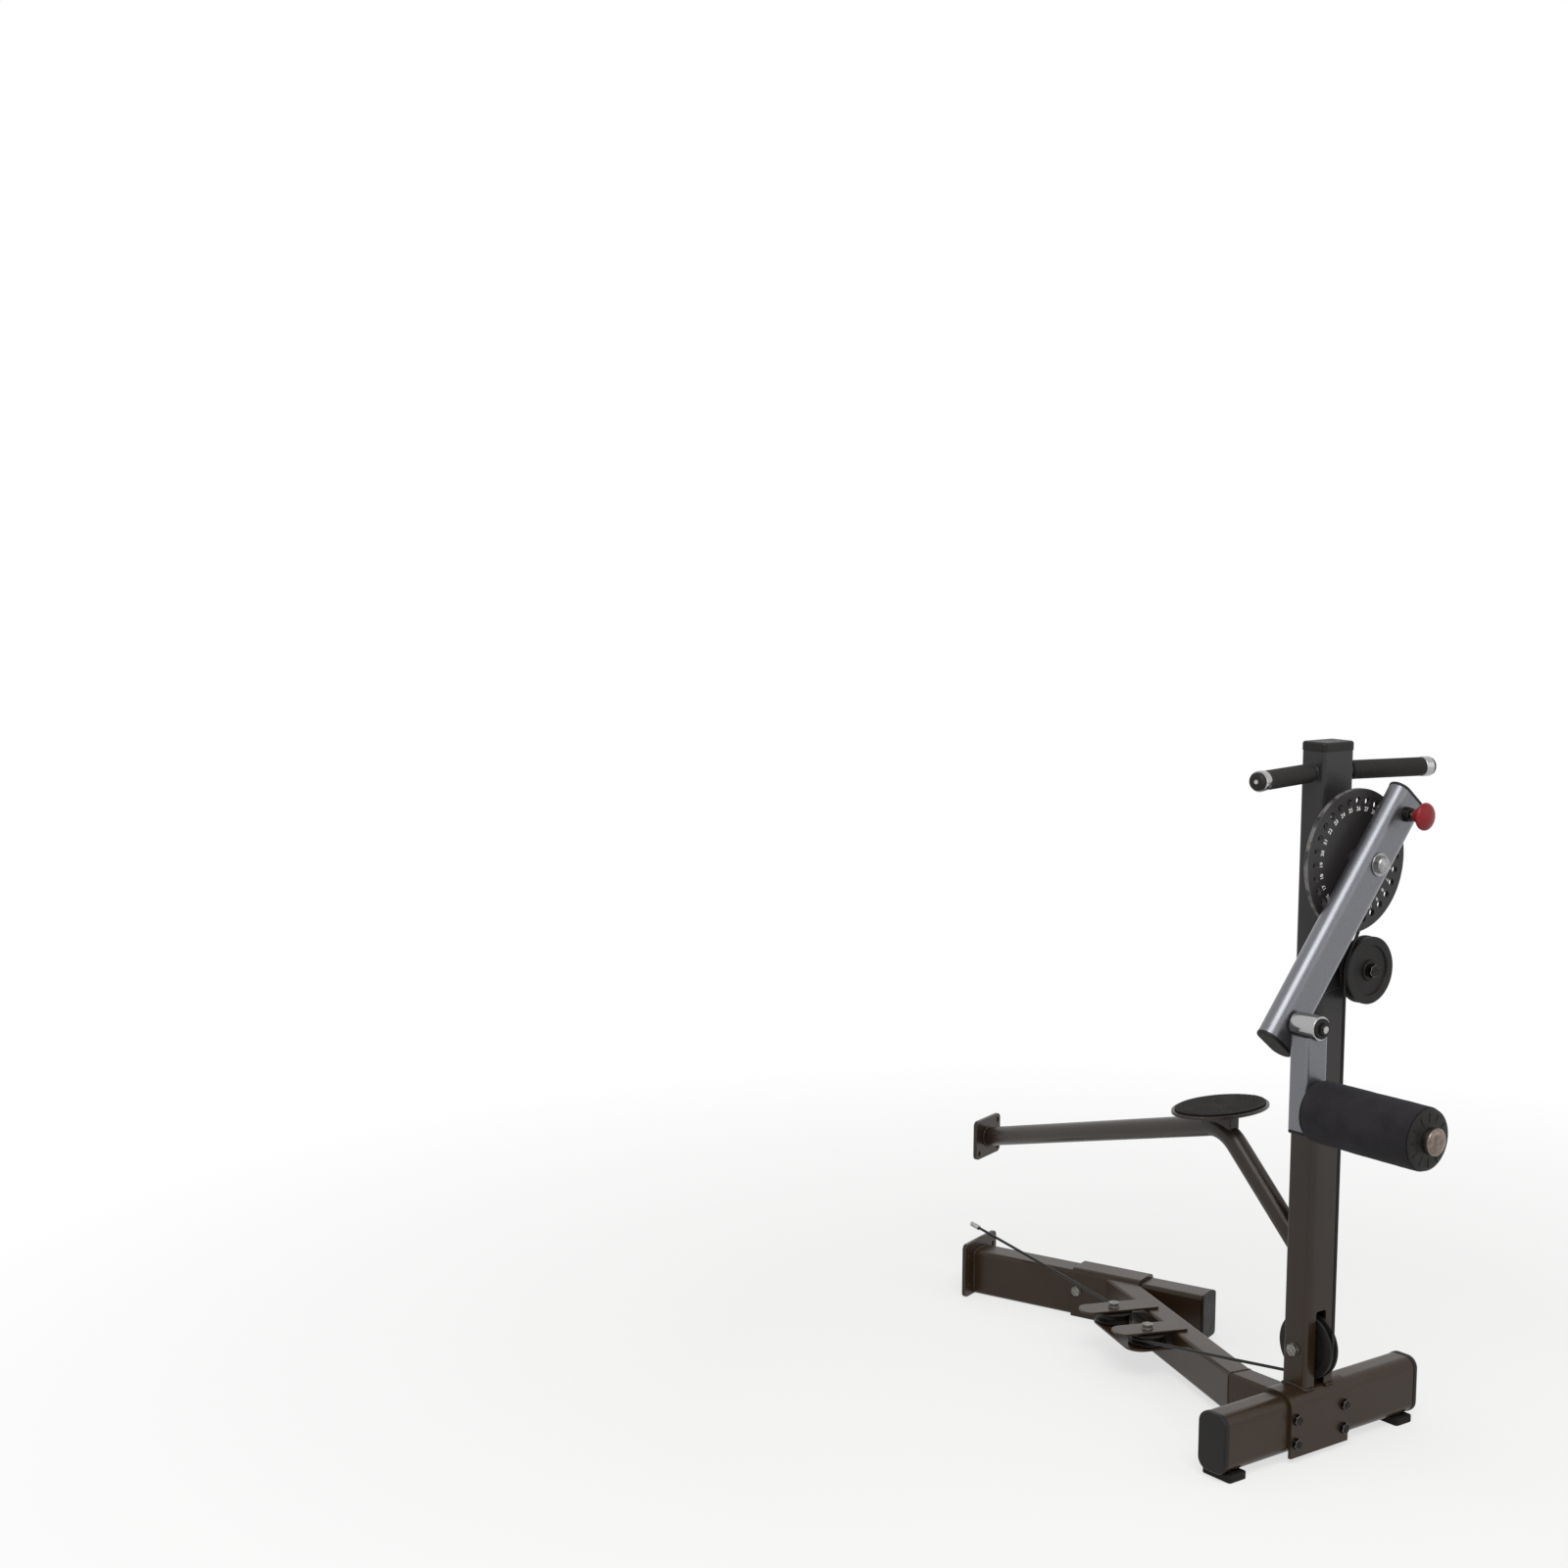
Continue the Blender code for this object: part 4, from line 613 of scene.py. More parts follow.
back = (ROUTE[0] - ROUTE[1]).normalized()
end_fitting = finish_piece("cable_end_fitting", turned(
    [(0, 0), (0, 0.0042), (0.0008, 0.005), (0.007, 0.005), (0.0075, 0.0046), (0.009, 0.0046),
     (0.0095, 0.005), (0.0165, 0.005), (0.017, 0.0046), (0.0185, 0.0046), (0.019, 0.005),
     (0.0249, 0.005), (0.0257, 0.0042), (0.0257, 0)], ROUTE[0] + back * FIT, back, 28), [ZINC],
    "machine_frame", "bright_steel", "cable_end_sleeve")

# ------------------------------------------------------------------ fasteners


def hexagon(across, high):
    """A hexagonal block on the origin, its corners turned down at the top."""
    bm = bmesh.new()
    bmesh.ops.create_circle(bm, cap_ends=True, segments=6,
                            radius=across / 2 / math.cos(math.pi / 6))
    top = pull(bm, bm.faces[:], Vector((0, 0, high)))
    bevel(bm, list({v for f in top for v in f.verts}), 0.0013, 2, "VERTICES")
    return break_edges(bm, 0.0003, 50.0, segments=1)


def rod(first, last, r, edge, bore=0.0):
    """Profile of a rod or bush with both of its rims broken."""
    return [(first, bore), (first, r - edge), (first + edge, r), (last - edge, r),
            (last, r - edge), (last, bore)]


def thread(first, last, r, pitch=0.0015):
    """Profile of a threaded end, with its grooves as rings."""
    dots = [(first, 0), (first, r)]
    count = int((last - first) / pitch)
    for k in range(count):
        z = first + k * pitch
        dots += [(z + pitch * 0.15, r), (z + pitch * 0.5, r - pitch * 0.5),
                 (z + pitch * 0.85, r)]
    return dots + [(last, r - pitch * 0.5), (last, 0)]


def hex_bolt(at, d, across, head, r, nut_at=None, length=None, collars=()):
    """Hex bolt with pressed washers; at is under the head and d points down the shank."""
    d = d.normalized()
    ex = d.orthogonal().normalized()
    ey = d.cross(ex)
    washer, nut_high, proud, chamfer = 0.0012, 0.008, 0.011, 0.0035
    parts = [stand(hexagon(across, head - washer), at - d * washer, ex, -ey),
             turned([(-washer, 0), (-washer, across * 0.58), (0, across * 0.6), (0, 0)],
                    at, d, 32)]
    tail = length
    if nut_at is not None:
        tail = nut_at + proud
        parts += [stand(hexagon(across, nut_high - washer), at + d * (nut_at + washer), ex, ey),
                  turned([(0, 0), (0, across * 0.6), (washer, across * 0.58), (washer, 0)],
                         at + d * nut_at, d, 32),
                  turned(thread(nut_at + nut_high, tail, r), at, d, 24)]
    shank = tail - chamfer
    parts.append(turned([(0, 0), (0, r), (shank, r), (shank, 0)], at, d, 24))
    for first, last, wide in collars:
        parts.append(turned(rod(first, last, wide, 0.0004), at, d, 40))
    return gather(*parts)


# ------------------------------------------------------------------ foot and post


def bent_saddle(mid, across, half_w, top_z, leg_z, corner):
    """Plate bent over a rail, one leg down each side; corner is the inner bend radius."""
    x0 = half_w + FIT
    leg = top_z + FIT - corner - leg_z
    bm = section(SADDLE_T, SADDLE_L, 0.0001, 1)
    top = pull(bm, bm.faces[:], Z * leg)
    bmesh.ops.translate(bm, vec=(-(x0 + SADDLE_T / 2), 0, leg_z), verts=bm.verts)
    turn_z = leg_z + leg
    top = bend(bm, top, (-(x0 - corner), 0, turn_z), Y, math.pi / 2, 10)
    top = pull(bm, top, X * (2 * (x0 - corner)))
    top = bend(bm, top, (x0 - corner, 0, turn_z), Y, math.pi / 2, 10)
    pull(bm, top, Z * -leg)
    bmesh.ops.recalc_face_normals(bm, faces=bm.faces)
    corners = [e for e in bm.edges if abs(e.verts[0].co.z - leg_z) < 1e-5
               and abs(e.verts[1].co.z - leg_z) < 1e-5
               and abs(e.verts[0].co.x - e.verts[1].co.x) > SADDLE_T * 0.8]
    bevel(bm, corners, 0.006, 4)
    break_edges(bm, SOFT_EDGE)
    return stand(bm, mid, across, Z.cross(across))


bar_mid = Y * BAR_Y + Z * (FOOT_H + BAR_Z / 2)
finish_piece("crossbar_tube", bar(section(BAR_X, BAR_Z, CROSS_CORNER, 12, WALL),
                                  bar_mid - Y * BAR_L / 2, bar_mid + Y * BAR_L / 2, X),
             [PAINT], "machine_frame", "frame_paint", "crossbar")
for s, side_name in ((-1, "left"), (1, "right")):
    face = bar_mid + Y * (s * (BAR_L / 2 + FIT))
    cap = bar(section(BAR_X + 0.002, BAR_Z + 0.002, CROSS_CORNER + 0.001, 12), face,
              face + Y * (s * 0.010), X)
    outer = [e for e in cap.edges if all(abs((v.co - face).y * s - 0.010) < 1e-5
                                         for v in e.verts)]
    bevel(cap, outer, 0.004, 4)
    lip = bar(section(BAR_X - 2 * WALL - 0.001, BAR_Z - 2 * WALL - 0.001, 0.0165, 8),
              face - Y * (s * 0.012), face, X)
    finish_piece("crossbar_end_" + side_name, gather(cap, lip), [CAP_PLASTIC],
                 "machine_frame", "black_plastic", "crossbar_cap_" + side_name)
    middle = Y * (BAR_Y + s * (BAR_L / 2 - 0.002 - FOOT_L / 2))
    foot = bar(section(BAR_X + 0.004, FOOT_L, 0.006, 5), middle,
               middle + Z * (FOOT_H - FIT), X)
    break_edges(foot, 0.0022, 60.0, segments=3)
    finish_piece("foot_pad_" + side_name, foot, [RUBBER], "machine_frame", "rubber",
                 "rubber_foot_" + side_name)

finish_piece("bent_saddle_plate", bent_saddle(Y * SADDLE_Y, X, BAR_X / 2, BAR_TOP,
                                              FOOT_H - 0.004, CROSS_CORNER), [PAINT],
             "machine_frame", "frame_paint", "post_saddle")
bolt_face = BAR_X / 2 + SADDLE_T + 2 * FIT
spots = [Vector((0, SADDLE_Y + s * SADDLE_BOLT_Y, FOOT_H + h)) for s in (-1, 1)
         for h in (BOLT_LOW, BOLT_HIGH)]
for k, spot in enumerate(spots):
    finish_piece("saddle_hex_bolt_%d" % (k + 1),
                 hex_bolt(spot + X * bolt_face, -X, 0.0165, 0.0065, 0.005, 2 * bolt_face),
                 [BLACK_OXIDE], "machine_frame", "bright_steel", "saddle_bolt_%d" % (k + 1))

COPE, SLOT, SLOT_FOOT = 0.007, 0.0125, 0.014
post = bar(section(POST_X, POST_Y, TUBE_CORNER, 8, WALL), Z * (POST_Z0 - COPE), Z * POST_TOP, X)
shoulder = CROSS_CORNER + SADDLE_T
cope_mid = Z * (POST_Z0 - 0.045)
post = drill(post, bar(section(2 * bolt_face, 0.090, shoulder + FIT, 12),
                       cope_mid - Y * POST_Y, cope_mid + Y * POST_Y, X))
slot_top = LOW_Z + ROPE_R + 0.015
slot_mid = Z * (POST_Z0 - SLOT_FOOT)
post = drill(post, bar(section(2 * SLOT, 2 * (slot_top - POST_Z0 + SLOT_FOOT), 0.005, 5),
                       slot_mid - X * POST_X, slot_mid + X * POST_X, Y))


def on_shoulder(p):
    """Let a point down on to the saddle's round shoulder."""
    over = max(0.0, abs(p.x) - (bolt_face - FIT - shoulder))
    return p - Z * (shoulder - math.sqrt(shoulder ** 2 - over ** 2))


ring = outline_points(POST_X + 0.001, POST_Y + 0.001, TUBE_CORNER, Z * (POST_Z0 + 0.0008), X, Y)
sides = [[p for p in ring if s * p.y > SLOT] for s in (1, -1)]
for s, side in zip((1, -1), sides):
    side += [Vector((0.0022 * k, s * (POST_Y + 0.001) / 2, side[0].z)) for k in range(-8, 9)]
    side.sort(key=lambda p: math.atan2(s * p.y, p.x))
    side.insert(0, Vector((side[0].x, s * (SLOT + 0.002), side[0].z)))
    side.append(Vector((side[-1].x, s * (SLOT + 0.002), side[-1].z)))
    side[:] = [on_shoulder(p) for p in side]
finish_piece("upright_post", gather(post, *[bead(side, False, POST_BEAD) for side in sides]),
             [PAINT], "machine_frame", "frame_paint", "post")

top_cap = bar(section(POST_X + 0.002, POST_Y + 0.002, 0.008, 8), Z * (POST_TOP + FIT),
              Z * (POST_TOP + FIT + 0.015), X)
rim = [e for e in top_cap.edges if all(v.co.z > POST_TOP + 0.0149 for v in e.verts)]
bevel(top_cap, rim, 0.0045, 5)
finish_piece("post_cap", gather(top_cap, bar(
    section(POST_X - 0.0072, POST_Y - 0.0072, 0.004, 4), Z * (POST_TOP - 0.014),
    Z * (POST_TOP + 0.001), X)), [CAP_PLASTIC], "machine_frame", "black_plastic",
    "post_top_cap")

# ------------------------------------------------------------------ handles

for s, side_name in ((-1, "left"), (1, "right")):
    d = Vector((math.sin(HANDLE_TURN), s * math.cos(HANDLE_TURN), 0.0))
    root = Vector((0.0, s * (POST_Y / 2 + FIT), POST_TOP - HANDLE_DROP))
    tube = bar(round_section(HANDLE_R), root - d * 0.020, root + d * HANDLE_L, Z)
    trim(tube, root, Y * -s)
    weld = [hit(p, d, root, Y) for p in ring_of(root, Z, d.cross(Z), 0.0133, 0.0133, 24)]
    weld = [p + Y * (s * 0.0006) for p in weld]
    finish_piece("handle_" + side_name, gather(tube, bead(weld, True, HANDLE_BEAD)), [PAINT],
                 "machine_frame", "frame_paint", "handle_tube_" + side_name)
    grip = [(GRIP_START, 0.013), (GRIP_START, GRIP_R - 0.0012), (GRIP_START + 0.0012, GRIP_R),
            (GRIP_START + 0.007, GRIP_R)]
    for k in range(44):
        z = GRIP_START + 0.0085 + GRIP_STEP * k
        grip += [(z, GRIP_R), (z + 0.0007, GRIP_R - 0.0004), (z + 0.0014, GRIP_R)]
    grip += [(GRIP_END - 0.0012, GRIP_R), (GRIP_END, GRIP_R - 0.0012), (GRIP_END, 0.013)]
    finish_piece("grip_" + side_name, turned(grip, root, d, 40), [GRIP_RUBBER],
                 "machine_frame", "rubber", "handle_grip_" + side_name)
    collar = turned([(COLLAR_START, 0.0129), (COLLAR_START, COLLAR_R - 0.0012),
                     (COLLAR_START + 0.0012, COLLAR_R), (COLLAR_END - 0.002, COLLAR_R),
                     (COLLAR_END, COLLAR_R - 0.0015), (COLLAR_END, 0.0)], root, d, 48)
    plug = turned([(0.178, 0), (0.178, 0.0148), (0.1815, 0.0148), (0.1840, 0.0125),
                   (0.1852, 0.0075), (0.1855, 0.0)], root, d, 40)
    dot = turned([(0.1845, 0), (0.1845, 0.0042), (0.1858, 0.0036), (0.1860, 0.0)], root, d, 24)
    finish_piece("handle_end_" + side_name,
                 gather(collar, painted(plug, 1), painted(dot, 2)),
                 [CHROME, CAP_PLASTIC, ZINC], "machine_frame", "chrome",
                 "grip_end_" + side_name)

# ------------------------------------------------------------------ rails

rail_mid = Z * (BASE_H - RAIL_Z / 2)
saddle_back = X * -bolt_face
bend_nrm = (X - RAIL_DIR).normalized()
near_face = BASE_END - BASE_NRM * (BASE_W / 2 + SADDLE_T + 2 * FIT)
first_rail = bar(section(RAIL_Y, RAIL_Z, TUBE_CORNER, 8), rail_mid + saddle_back,
                 rail_mid + RAIL_BEND - X * 0.05, Y)
trim(first_rail, RAIL_BEND, -bend_nrm)
second_rail = bar(section(RAIL_Y, RAIL_Z, TUBE_CORNER, 8), rail_mid + RAIL_BEND
                  - RAIL_DIR * 0.05, rail_mid + RAIL_BEND + RAIL_DIR * 0.9, RAIL_NRM)
trim(second_rail, RAIL_BEND, bend_nrm)
trim(second_rail, near_face, BASE_NRM)
mitre = [hit(p, X, RAIL_BEND, bend_nrm) for p in outline_points(
    RAIL_Y, RAIL_Z, TUBE_CORNER, rail_mid + RAIL_BEND, Y, Z)]
saddle_weld = outline_points(RAIL_Y, RAIL_Z, TUBE_CORNER, rail_mid + saddle_back - X * 0.0006,
                             Y, Z)
finish_piece("link_rail_tube", gather(first_rail, second_rail, bead(mitre, True, MITRE_BEAD),
                                      bead(saddle_weld, True, RAIL_BEAD)), [PAINT],
             "machine_frame", "frame_paint", "link_rail")


def host_flange(at, wide, high, holes_w, holes_h):
    """Bolt plate for the host gym; at is the middle of its front face."""
    plate = section(wide, high, FLANGE_CORNER, 6)
    pull(plate, plate.faces[:], Z * FLANGE_T)
    break_edges(plate, SOFT_EDGE, 60.0)
    holes = [stand(round_section(FLANGE_HOLE_R, 32), Vector((i * holes_w / 2, j * holes_h / 2,
                                                             -FLANGE_T)), X, Y)
             for i in (-1, 1) for j in (-1, 1)]
    for hole in holes:
        pull(hole, hole.faces[:], Z * (3 * FLANGE_T))
    plate = drill(plate, gather(*holes))
    return stand(plate, at - BASE_DIR * FLANGE_T, BASE_NRM, Z)


base_mid = Z * (BASE_H / 2)
base_tube = bar(section(BASE_W, BASE_H, WIDE_CORNER, 8, WALL), BASE_START + base_mid,
                BASE_END + base_mid, BASE_NRM)
base_weld = outline_points(BASE_W, BASE_H, WIDE_CORNER, BASE_START + base_mid
                           + BASE_DIR * 0.0006, BASE_NRM, Z)
base_weld = base_weld[19:] + base_weld[:11]      # open at the foot, clear of the floor
finish_piece("base_rail_tube", gather(base_tube, bead(base_weld, False, RAIL_BEAD), host_flange(
    BASE_START + Z * 0.055, 0.130, 0.110, 0.100, 0.060)), [PAINT], "machine_frame",
    "frame_paint", "base_rail")
rail_end = BASE_END + base_mid + BASE_DIR * FIT
end_cap = bar(section(BASE_W, BASE_H, WIDE_CORNER, 8), rail_end, rail_end + BASE_DIR * 0.0055,
              BASE_NRM)
break_edges(end_cap, 0.0018, 60.0, segments=3)
finish_piece("base_rail_end", end_cap, [CAP_PLASTIC], "machine_frame", "black_plastic",
             "base_rail_cap")

rail_meets = hit(RAIL_BEND, RAIL_DIR, BASE_END, BASE_NRM)
finish_piece("junction_saddle_plate", bent_saddle(rail_meets, -BASE_NRM, BASE_W / 2, BASE_H,
                                                  0.0, WIDE_CORNER), [PAINT],
             "machine_frame", "frame_paint", "junction_saddle")
for k, s in enumerate((-1, 1)):
    spot = rail_meets + BASE_DIR * (s * SADDLE_BOLT_Y) + Z * JUNCTION_BOLT_Z
    face = BASE_W / 2 + SADDLE_T + 2 * FIT
    finish_piece("junction_hex_bolt_%d" % (k + 1),
                 hex_bolt(spot - BASE_NRM * face, BASE_NRM, 0.017, 0.0065, 0.005, 2 * face),
                 [DULL_ZINC], "machine_frame", "bright_steel", "junction_bolt_%d" % (k + 1))

# ------------------------------------------------------------------ brace and foot plate

down = (KNEE - BRACE_FOOT).normalized()
away = (BRACE_HOST - KNEE).normalized()
knee_angle = down.angle(away)
bend_start = KNEE - down * (BRACE_BEND_R * math.tan(knee_angle / 2))
hinge = down.cross(away).normalized()
brace = round_section(BRACE_R, 48)
stand(brace, BRACE_FOOT - down * 0.05, hinge, down.cross(hinge))
tip = pull(brace, brace.faces[:], bend_start - BRACE_FOOT + down * 0.05)
tip = bend(brace, tip, bend_start + hinge.cross(down) * BRACE_BEND_R, hinge, knee_angle, 18)
bend_end = bend_start + (down + away) * (BRACE_BEND_R * math.tan(knee_angle / 2))
pull(brace, tip, BRACE_HOST - bend_end + away * 0.02)
trim(brace, BRACE_FOOT, X)
trim(brace, BRACE_HOST, -BASE_DIR)
foot_weld = [hit(p, down, BRACE_FOOT - X * 0.0006, X) for p in ring_of(
    BRACE_FOOT, hinge, down.cross(hinge), BRACE_R, BRACE_R, 40)]
host_weld = [hit(p, away, BRACE_HOST + BASE_DIR * 0.0006, BASE_DIR) for p in ring_of(
    BRACE_HOST, hinge, away.cross(hinge), BRACE_R, BRACE_R, 40)]
seat = bar(section(0.070, 0.024, 0.003, 3), Vector((PLATE_AT.x, 0, KNEE.z - 0.004)),
           Vector((PLATE_AT.x, 0, PLATE_AT.z - FIT)), X)
break_edges(seat, SOFT_EDGE, 60.0)
strip = bar(section(0.074, 0.110, 0.010, 5), PLATE_AT - Z * (FIT + 0.004), PLATE_AT - Z * FIT, X)
break_edges(strip, SOFT_EDGE, 60.0)
finish_piece("brace_tube", gather(brace, bead(foot_weld), bead(host_weld), seat, strip,
                                  host_flange(BRACE_HOST, 0.100, 0.080, 0.076, 0.056)),
             [PAINT], "machine_frame", "frame_paint", "brace")


def oval_plate(a, b, z, thick, edge):
    """Oval plate over the brace's seat, with its edge broken."""
    bm = round_section(1.0, 72)
    bmesh.ops.scale(bm, vec=(b, a, 1.0), verts=bm.verts)
    pull(bm, bm.faces[:], Z * thick)
    break_edges(bm, edge, 60.0, segments=3, wear=0.2)
    return stand(bm, Vector((PLATE_AT.x, PLATE_AT.y, z)), X, Y)


finish_piece("oval_foot_plate", oval_plate(PLATE_A, PLATE_B, PLATE_AT.z, PLATE_T, 0.0015),
             [PAINT], "machine_frame", "frame_paint", "foot_plate")
pad_z = PLATE_AT.z + PLATE_T + FIT
ribs = [oval_plate(PLATE_A - PAD_IN, PLATE_B - PAD_IN, pad_z, PAD_T - 0.0006, 0.0009)]
for k in range(-9, 10):
    y = 0.0105 * k
    half = (PLATE_B - PAD_IN) * math.sqrt(1 - (y / (PLATE_A - PAD_IN)) ** 2) - 0.007
    rib = bar(section(2 * half, 0.0052, 0.0025, 4),
              Vector((PLATE_AT.x, PLATE_AT.y + y, pad_z + 0.001)),
              Vector((PLATE_AT.x, PLATE_AT.y + y, pad_z + PAD_T)), X)
    ribs.append(break_edges(rib, 0.0006, 60.0, segments=1))
finish_piece("ribbed_foot_pad", gather(*ribs), [RUBBER], "machine_frame", "rubber",
             "foot_plate_pad")

# ------------------------------------------------------------------ pulleys


def wheel(at, axis, rope, bore, hub_w, foot=0.0024, mouth=0.0054):
    """Moulded nylon pulley with a dished web and a pressed-in bearing."""
    rim, low, half, hub = rope + RIM_OVER, rope - CABLE_D / 2 - 0.0007, 0.010, bore + 0.011
    inner = low - 0.006
    web = 0.0068
    profile = []
    for s in (-1, 1):
        run = [(s * hub_w / 2, bore + 0.009), (s * hub_w / 2, hub - 0.001),
               (s * (hub_w / 2 - 0.001), hub), (s * web, hub + 0.001), (s * web, inner - 0.001),
               (s * (half - 0.0008), inner), (s * half, inner + 0.0008),
               (s * half, rim - 0.0008), (s * (half - 0.0008), rim), (s * mouth, rim),
               (s * foot, low)]
        profile += run if s < 0 else run[::-1]
    bearing = turned([(-hub_w / 2 + 0.0004, bore), (-hub_w / 2 + 0.0004, bore + 0.0035),
                      (-hub_w / 2 + 0.0012, bore + 0.0042), (-hub_w / 2 + 0.0012, bore + 0.006),
                      (-hub_w / 2 + 0.0004, bore + 0.0066), (-hub_w / 2 + 0.0004, bore + 0.0092),
                      (hub_w / 2 - 0.0004, bore + 0.0092), (hub_w / 2 - 0.0004, bore + 0.0066),
                      (hub_w / 2 - 0.0012, bore + 0.006), (hub_w / 2 - 0.0012, bore + 0.0042),
                      (hub_w / 2 - 0.0004, bore + 0.0035), (hub_w / 2 - 0.0004, bore)],
                     at, axis, 40)
    return gather(turned(profile, at, axis, 64), painted(bearing, 1))


def rail_spot(p):
    """Place of a point along the link rail and out from its middle."""
    q = p - RAIL_BEND
    return q.dot(RAIL_DIR), q.dot(RAIL_NRM)


def fork(first, last, near, far, corner, z):
    """Flat plate on the link rail with its two outer corners rounded."""
    bm = bmesh.new()
    bmesh.ops.create_grid(bm, x_segments=1, y_segments=1, size=0.5)
    bmesh.ops.scale(bm, vec=(last - first, far - near, 1.0), verts=bm.verts)
    bevel(bm, [v for v in bm.verts if v.co.y > 0], corner, 8, "VERTICES")
    pull(bm, bm.faces[:], Z * FORK_T)
    break_edges(bm, SOFT_EDGE, 60.0)
    middle = RAIL_BEND + RAIL_DIR * ((first + last) / 2) + RAIL_NRM * ((near + far) / 2)
    return stand(bm, middle + Z * z, RAIL_DIR, RAIL_NRM)


places = [rail_spot(FLAT_1), rail_spot(FLAT_2)]
plate_z = FLAT_Z + FORK_GAP
shelf_z = FLAT_Z - FORK_GAP - FORK_T
reach = SMALL_ROPE_R + RIM_OVER
rail_side = RAIL_Y / 2 + FIT
finish_piece("pulley_shelf", fork(places[1][0] - reach, places[0][0] + reach, rail_side,
                                  rail_side + SHELF_REACH, 0.030, shelf_z), [PAINT],
             "machine_frame", "frame_paint", "fork_shelf")
for k, (at, (along, out)) in enumerate(zip((FLAT_1, FLAT_2), places)):
    name = "%d" % (k + 1)
    finish_piece("pulley_plate_" + name, fork(along - FORK_W / 2, along + FORK_W / 2, 0.0,
                                              out + FORK_REACH, 0.020, plate_z), [PAINT],
                 "machine_frame", "frame_paint", "fork_plate_" + name)
    head = plate_z + FORK_T + FIT
    finish_piece("pulley_hex_bolt_" + name,
                 hex_bolt(Vector((at.x, at.y, head)), -Z, 0.019, 0.0075, 0.005,
                          head - shelf_z + FIT), [DULL_ZINC], "machine_frame", "bright_steel",
                 "fork_bolt_" + name)
    finish_piece("small_pulley_" + name, wheel(at, Z, SMALL_ROPE_R, 0.0053, 0.0244, 0.0026,
                                               0.0070), [NYLON, BLACK_OXIDE],
                 "flat_wheel_" + name, "black_plastic", "flat_pulley_" + name)

finish_piece("low_pulley_wheel", wheel(Z * LOW_Z, Y, ROPE_R, 0.0063, 0.022), [NYLON, BLACK_OXIDE],
             "low_wheel", "black_plastic", "low_pulley")
low_at = POST_Y / 2 + FIT
inside = low_at - POST_Y / 2 + WALL + FIT
hub_side = low_at - 0.011 - FIT
finish_piece("low_axle", hex_bolt(Vector((0, -low_at, LOW_Z)), Y, 0.019, 0.0075, 0.006,
                                  2 * low_at, collars=((inside, hub_side, 0.010),
                                                       (2 * low_at - hub_side,
                                                        2 * low_at - inside, 0.010))),
             [DULL_ZINC], "machine_frame", "bright_steel", "low_axle_bolt")

bracket_x = POST_X / 2 + FIT
nose = stand(round_section(0.022, 40), Vector((bracket_x, ROPE_R, IDLER.z)), Y, Z)
tab = stand(section(0.004, 0.072, 0.0015, 3), Vector((bracket_x, -0.028, IDLER.z)), Y, Z)
bracket = gather(nose, tab)
pull(bracket, bracket.faces[:], X * 0.006)
hull = bmesh.ops.convex_hull(bracket, input=bracket.verts[:])
inner_geom = {g for key in ("geom_interior", "geom_unused") for g in hull[key]}
bmesh.ops.delete(bracket, geom=[g for g in inner_geom if isinstance(g, bmesh.types.BMVert)],
                 context="VERTS")
bmesh.ops.remove_doubles(bracket, verts=bracket.verts, dist=1e-6)
bmesh.ops.dissolve_limit(bracket, angle_limit=math.radians(1.0), verts=bracket.verts,
                         edges=bracket.edges)
break_edges(bracket, SOFT_EDGE, 60.0)
finish_piece("idler_plate", bracket, [PAINT], "machine_frame", "frame_paint", "idler_bracket")
finish_piece("idler_wheel", wheel(IDLER, X, ROPE_R, 0.0063, 0.022), [NYLON, BLACK_OXIDE],
             "idler", "black_plastic", "idler_pulley")
head = ROPE_R + 0.011 + FIT
finish_piece("idler_hex_bolt", hex_bolt(Vector((head, IDLER.y, IDLER.z)), -X, 0.019, 0.0075,
                                        0.006, head - bracket_x + FIT,
                                        collars=((0.0226, head - bracket_x - 0.0063, 0.010),)),
             [BLACK_OXIDE], "machine_frame", "bright_steel", "idler_bolt")

# ------------------------------------------------------------------ pivot, drum, disc

SHAFT_R, BOSS_R = 0.0125, 0.028
head_x = -POST_X / 2 - FIT
finish_piece("pivot_axle", turned(
    [(head_x - 0.008, 0), (head_x - 0.008, 0.0165), (head_x - 0.0065, 0.018), (head_x, 0.018),
     (head_x, SHAFT_R), (bracket_x, SHAFT_R), (bracket_x, BOSS_R), (0.0392, BOSS_R),
     (0.040, BOSS_R - 0.0008), (0.040, SHAFT_R), (ARM_X1 - 0.0003, SHAFT_R),
     (ARM_X1 - 0.0003, 0.008), (ARM_X1 + 0.010, 0.008), (ARM_X1 + 0.010, 0)],
    PIVOT, X, 48), [ZINC], "machine_frame", "bright_steel", "pivot_shaft")
cap_x = ARM_X1 + FIT
acorn = [(0.0, 0.0), (0.0, 0.0138)] + [(0.0058 * math.sin(math.radians(a)),
                                        0.0138 * math.cos(math.radians(a)))
                                       for a in (15, 30, 45, 60, 75)] + [(0.0058, 0.0)]
finish_piece("pivot_acorn_nut", gather(
    turned([(0, 0), (0, 0.0195), (0.0006, 0.020), (0.0019, 0.020), (0.0025, 0.0195),
            (0.0025, 0)], PIVOT + X * cap_x, X, 48),
    stand(hexagon(0.0255, 0.006), PIVOT + X * (cap_x + 0.0025), Y, Z),
    turned(acorn, PIVOT + X * (cap_x + 0.0085), X, 40)), [SATIN_ZINC], "machine_frame", "chrome",
    "pivot_cap_nut")

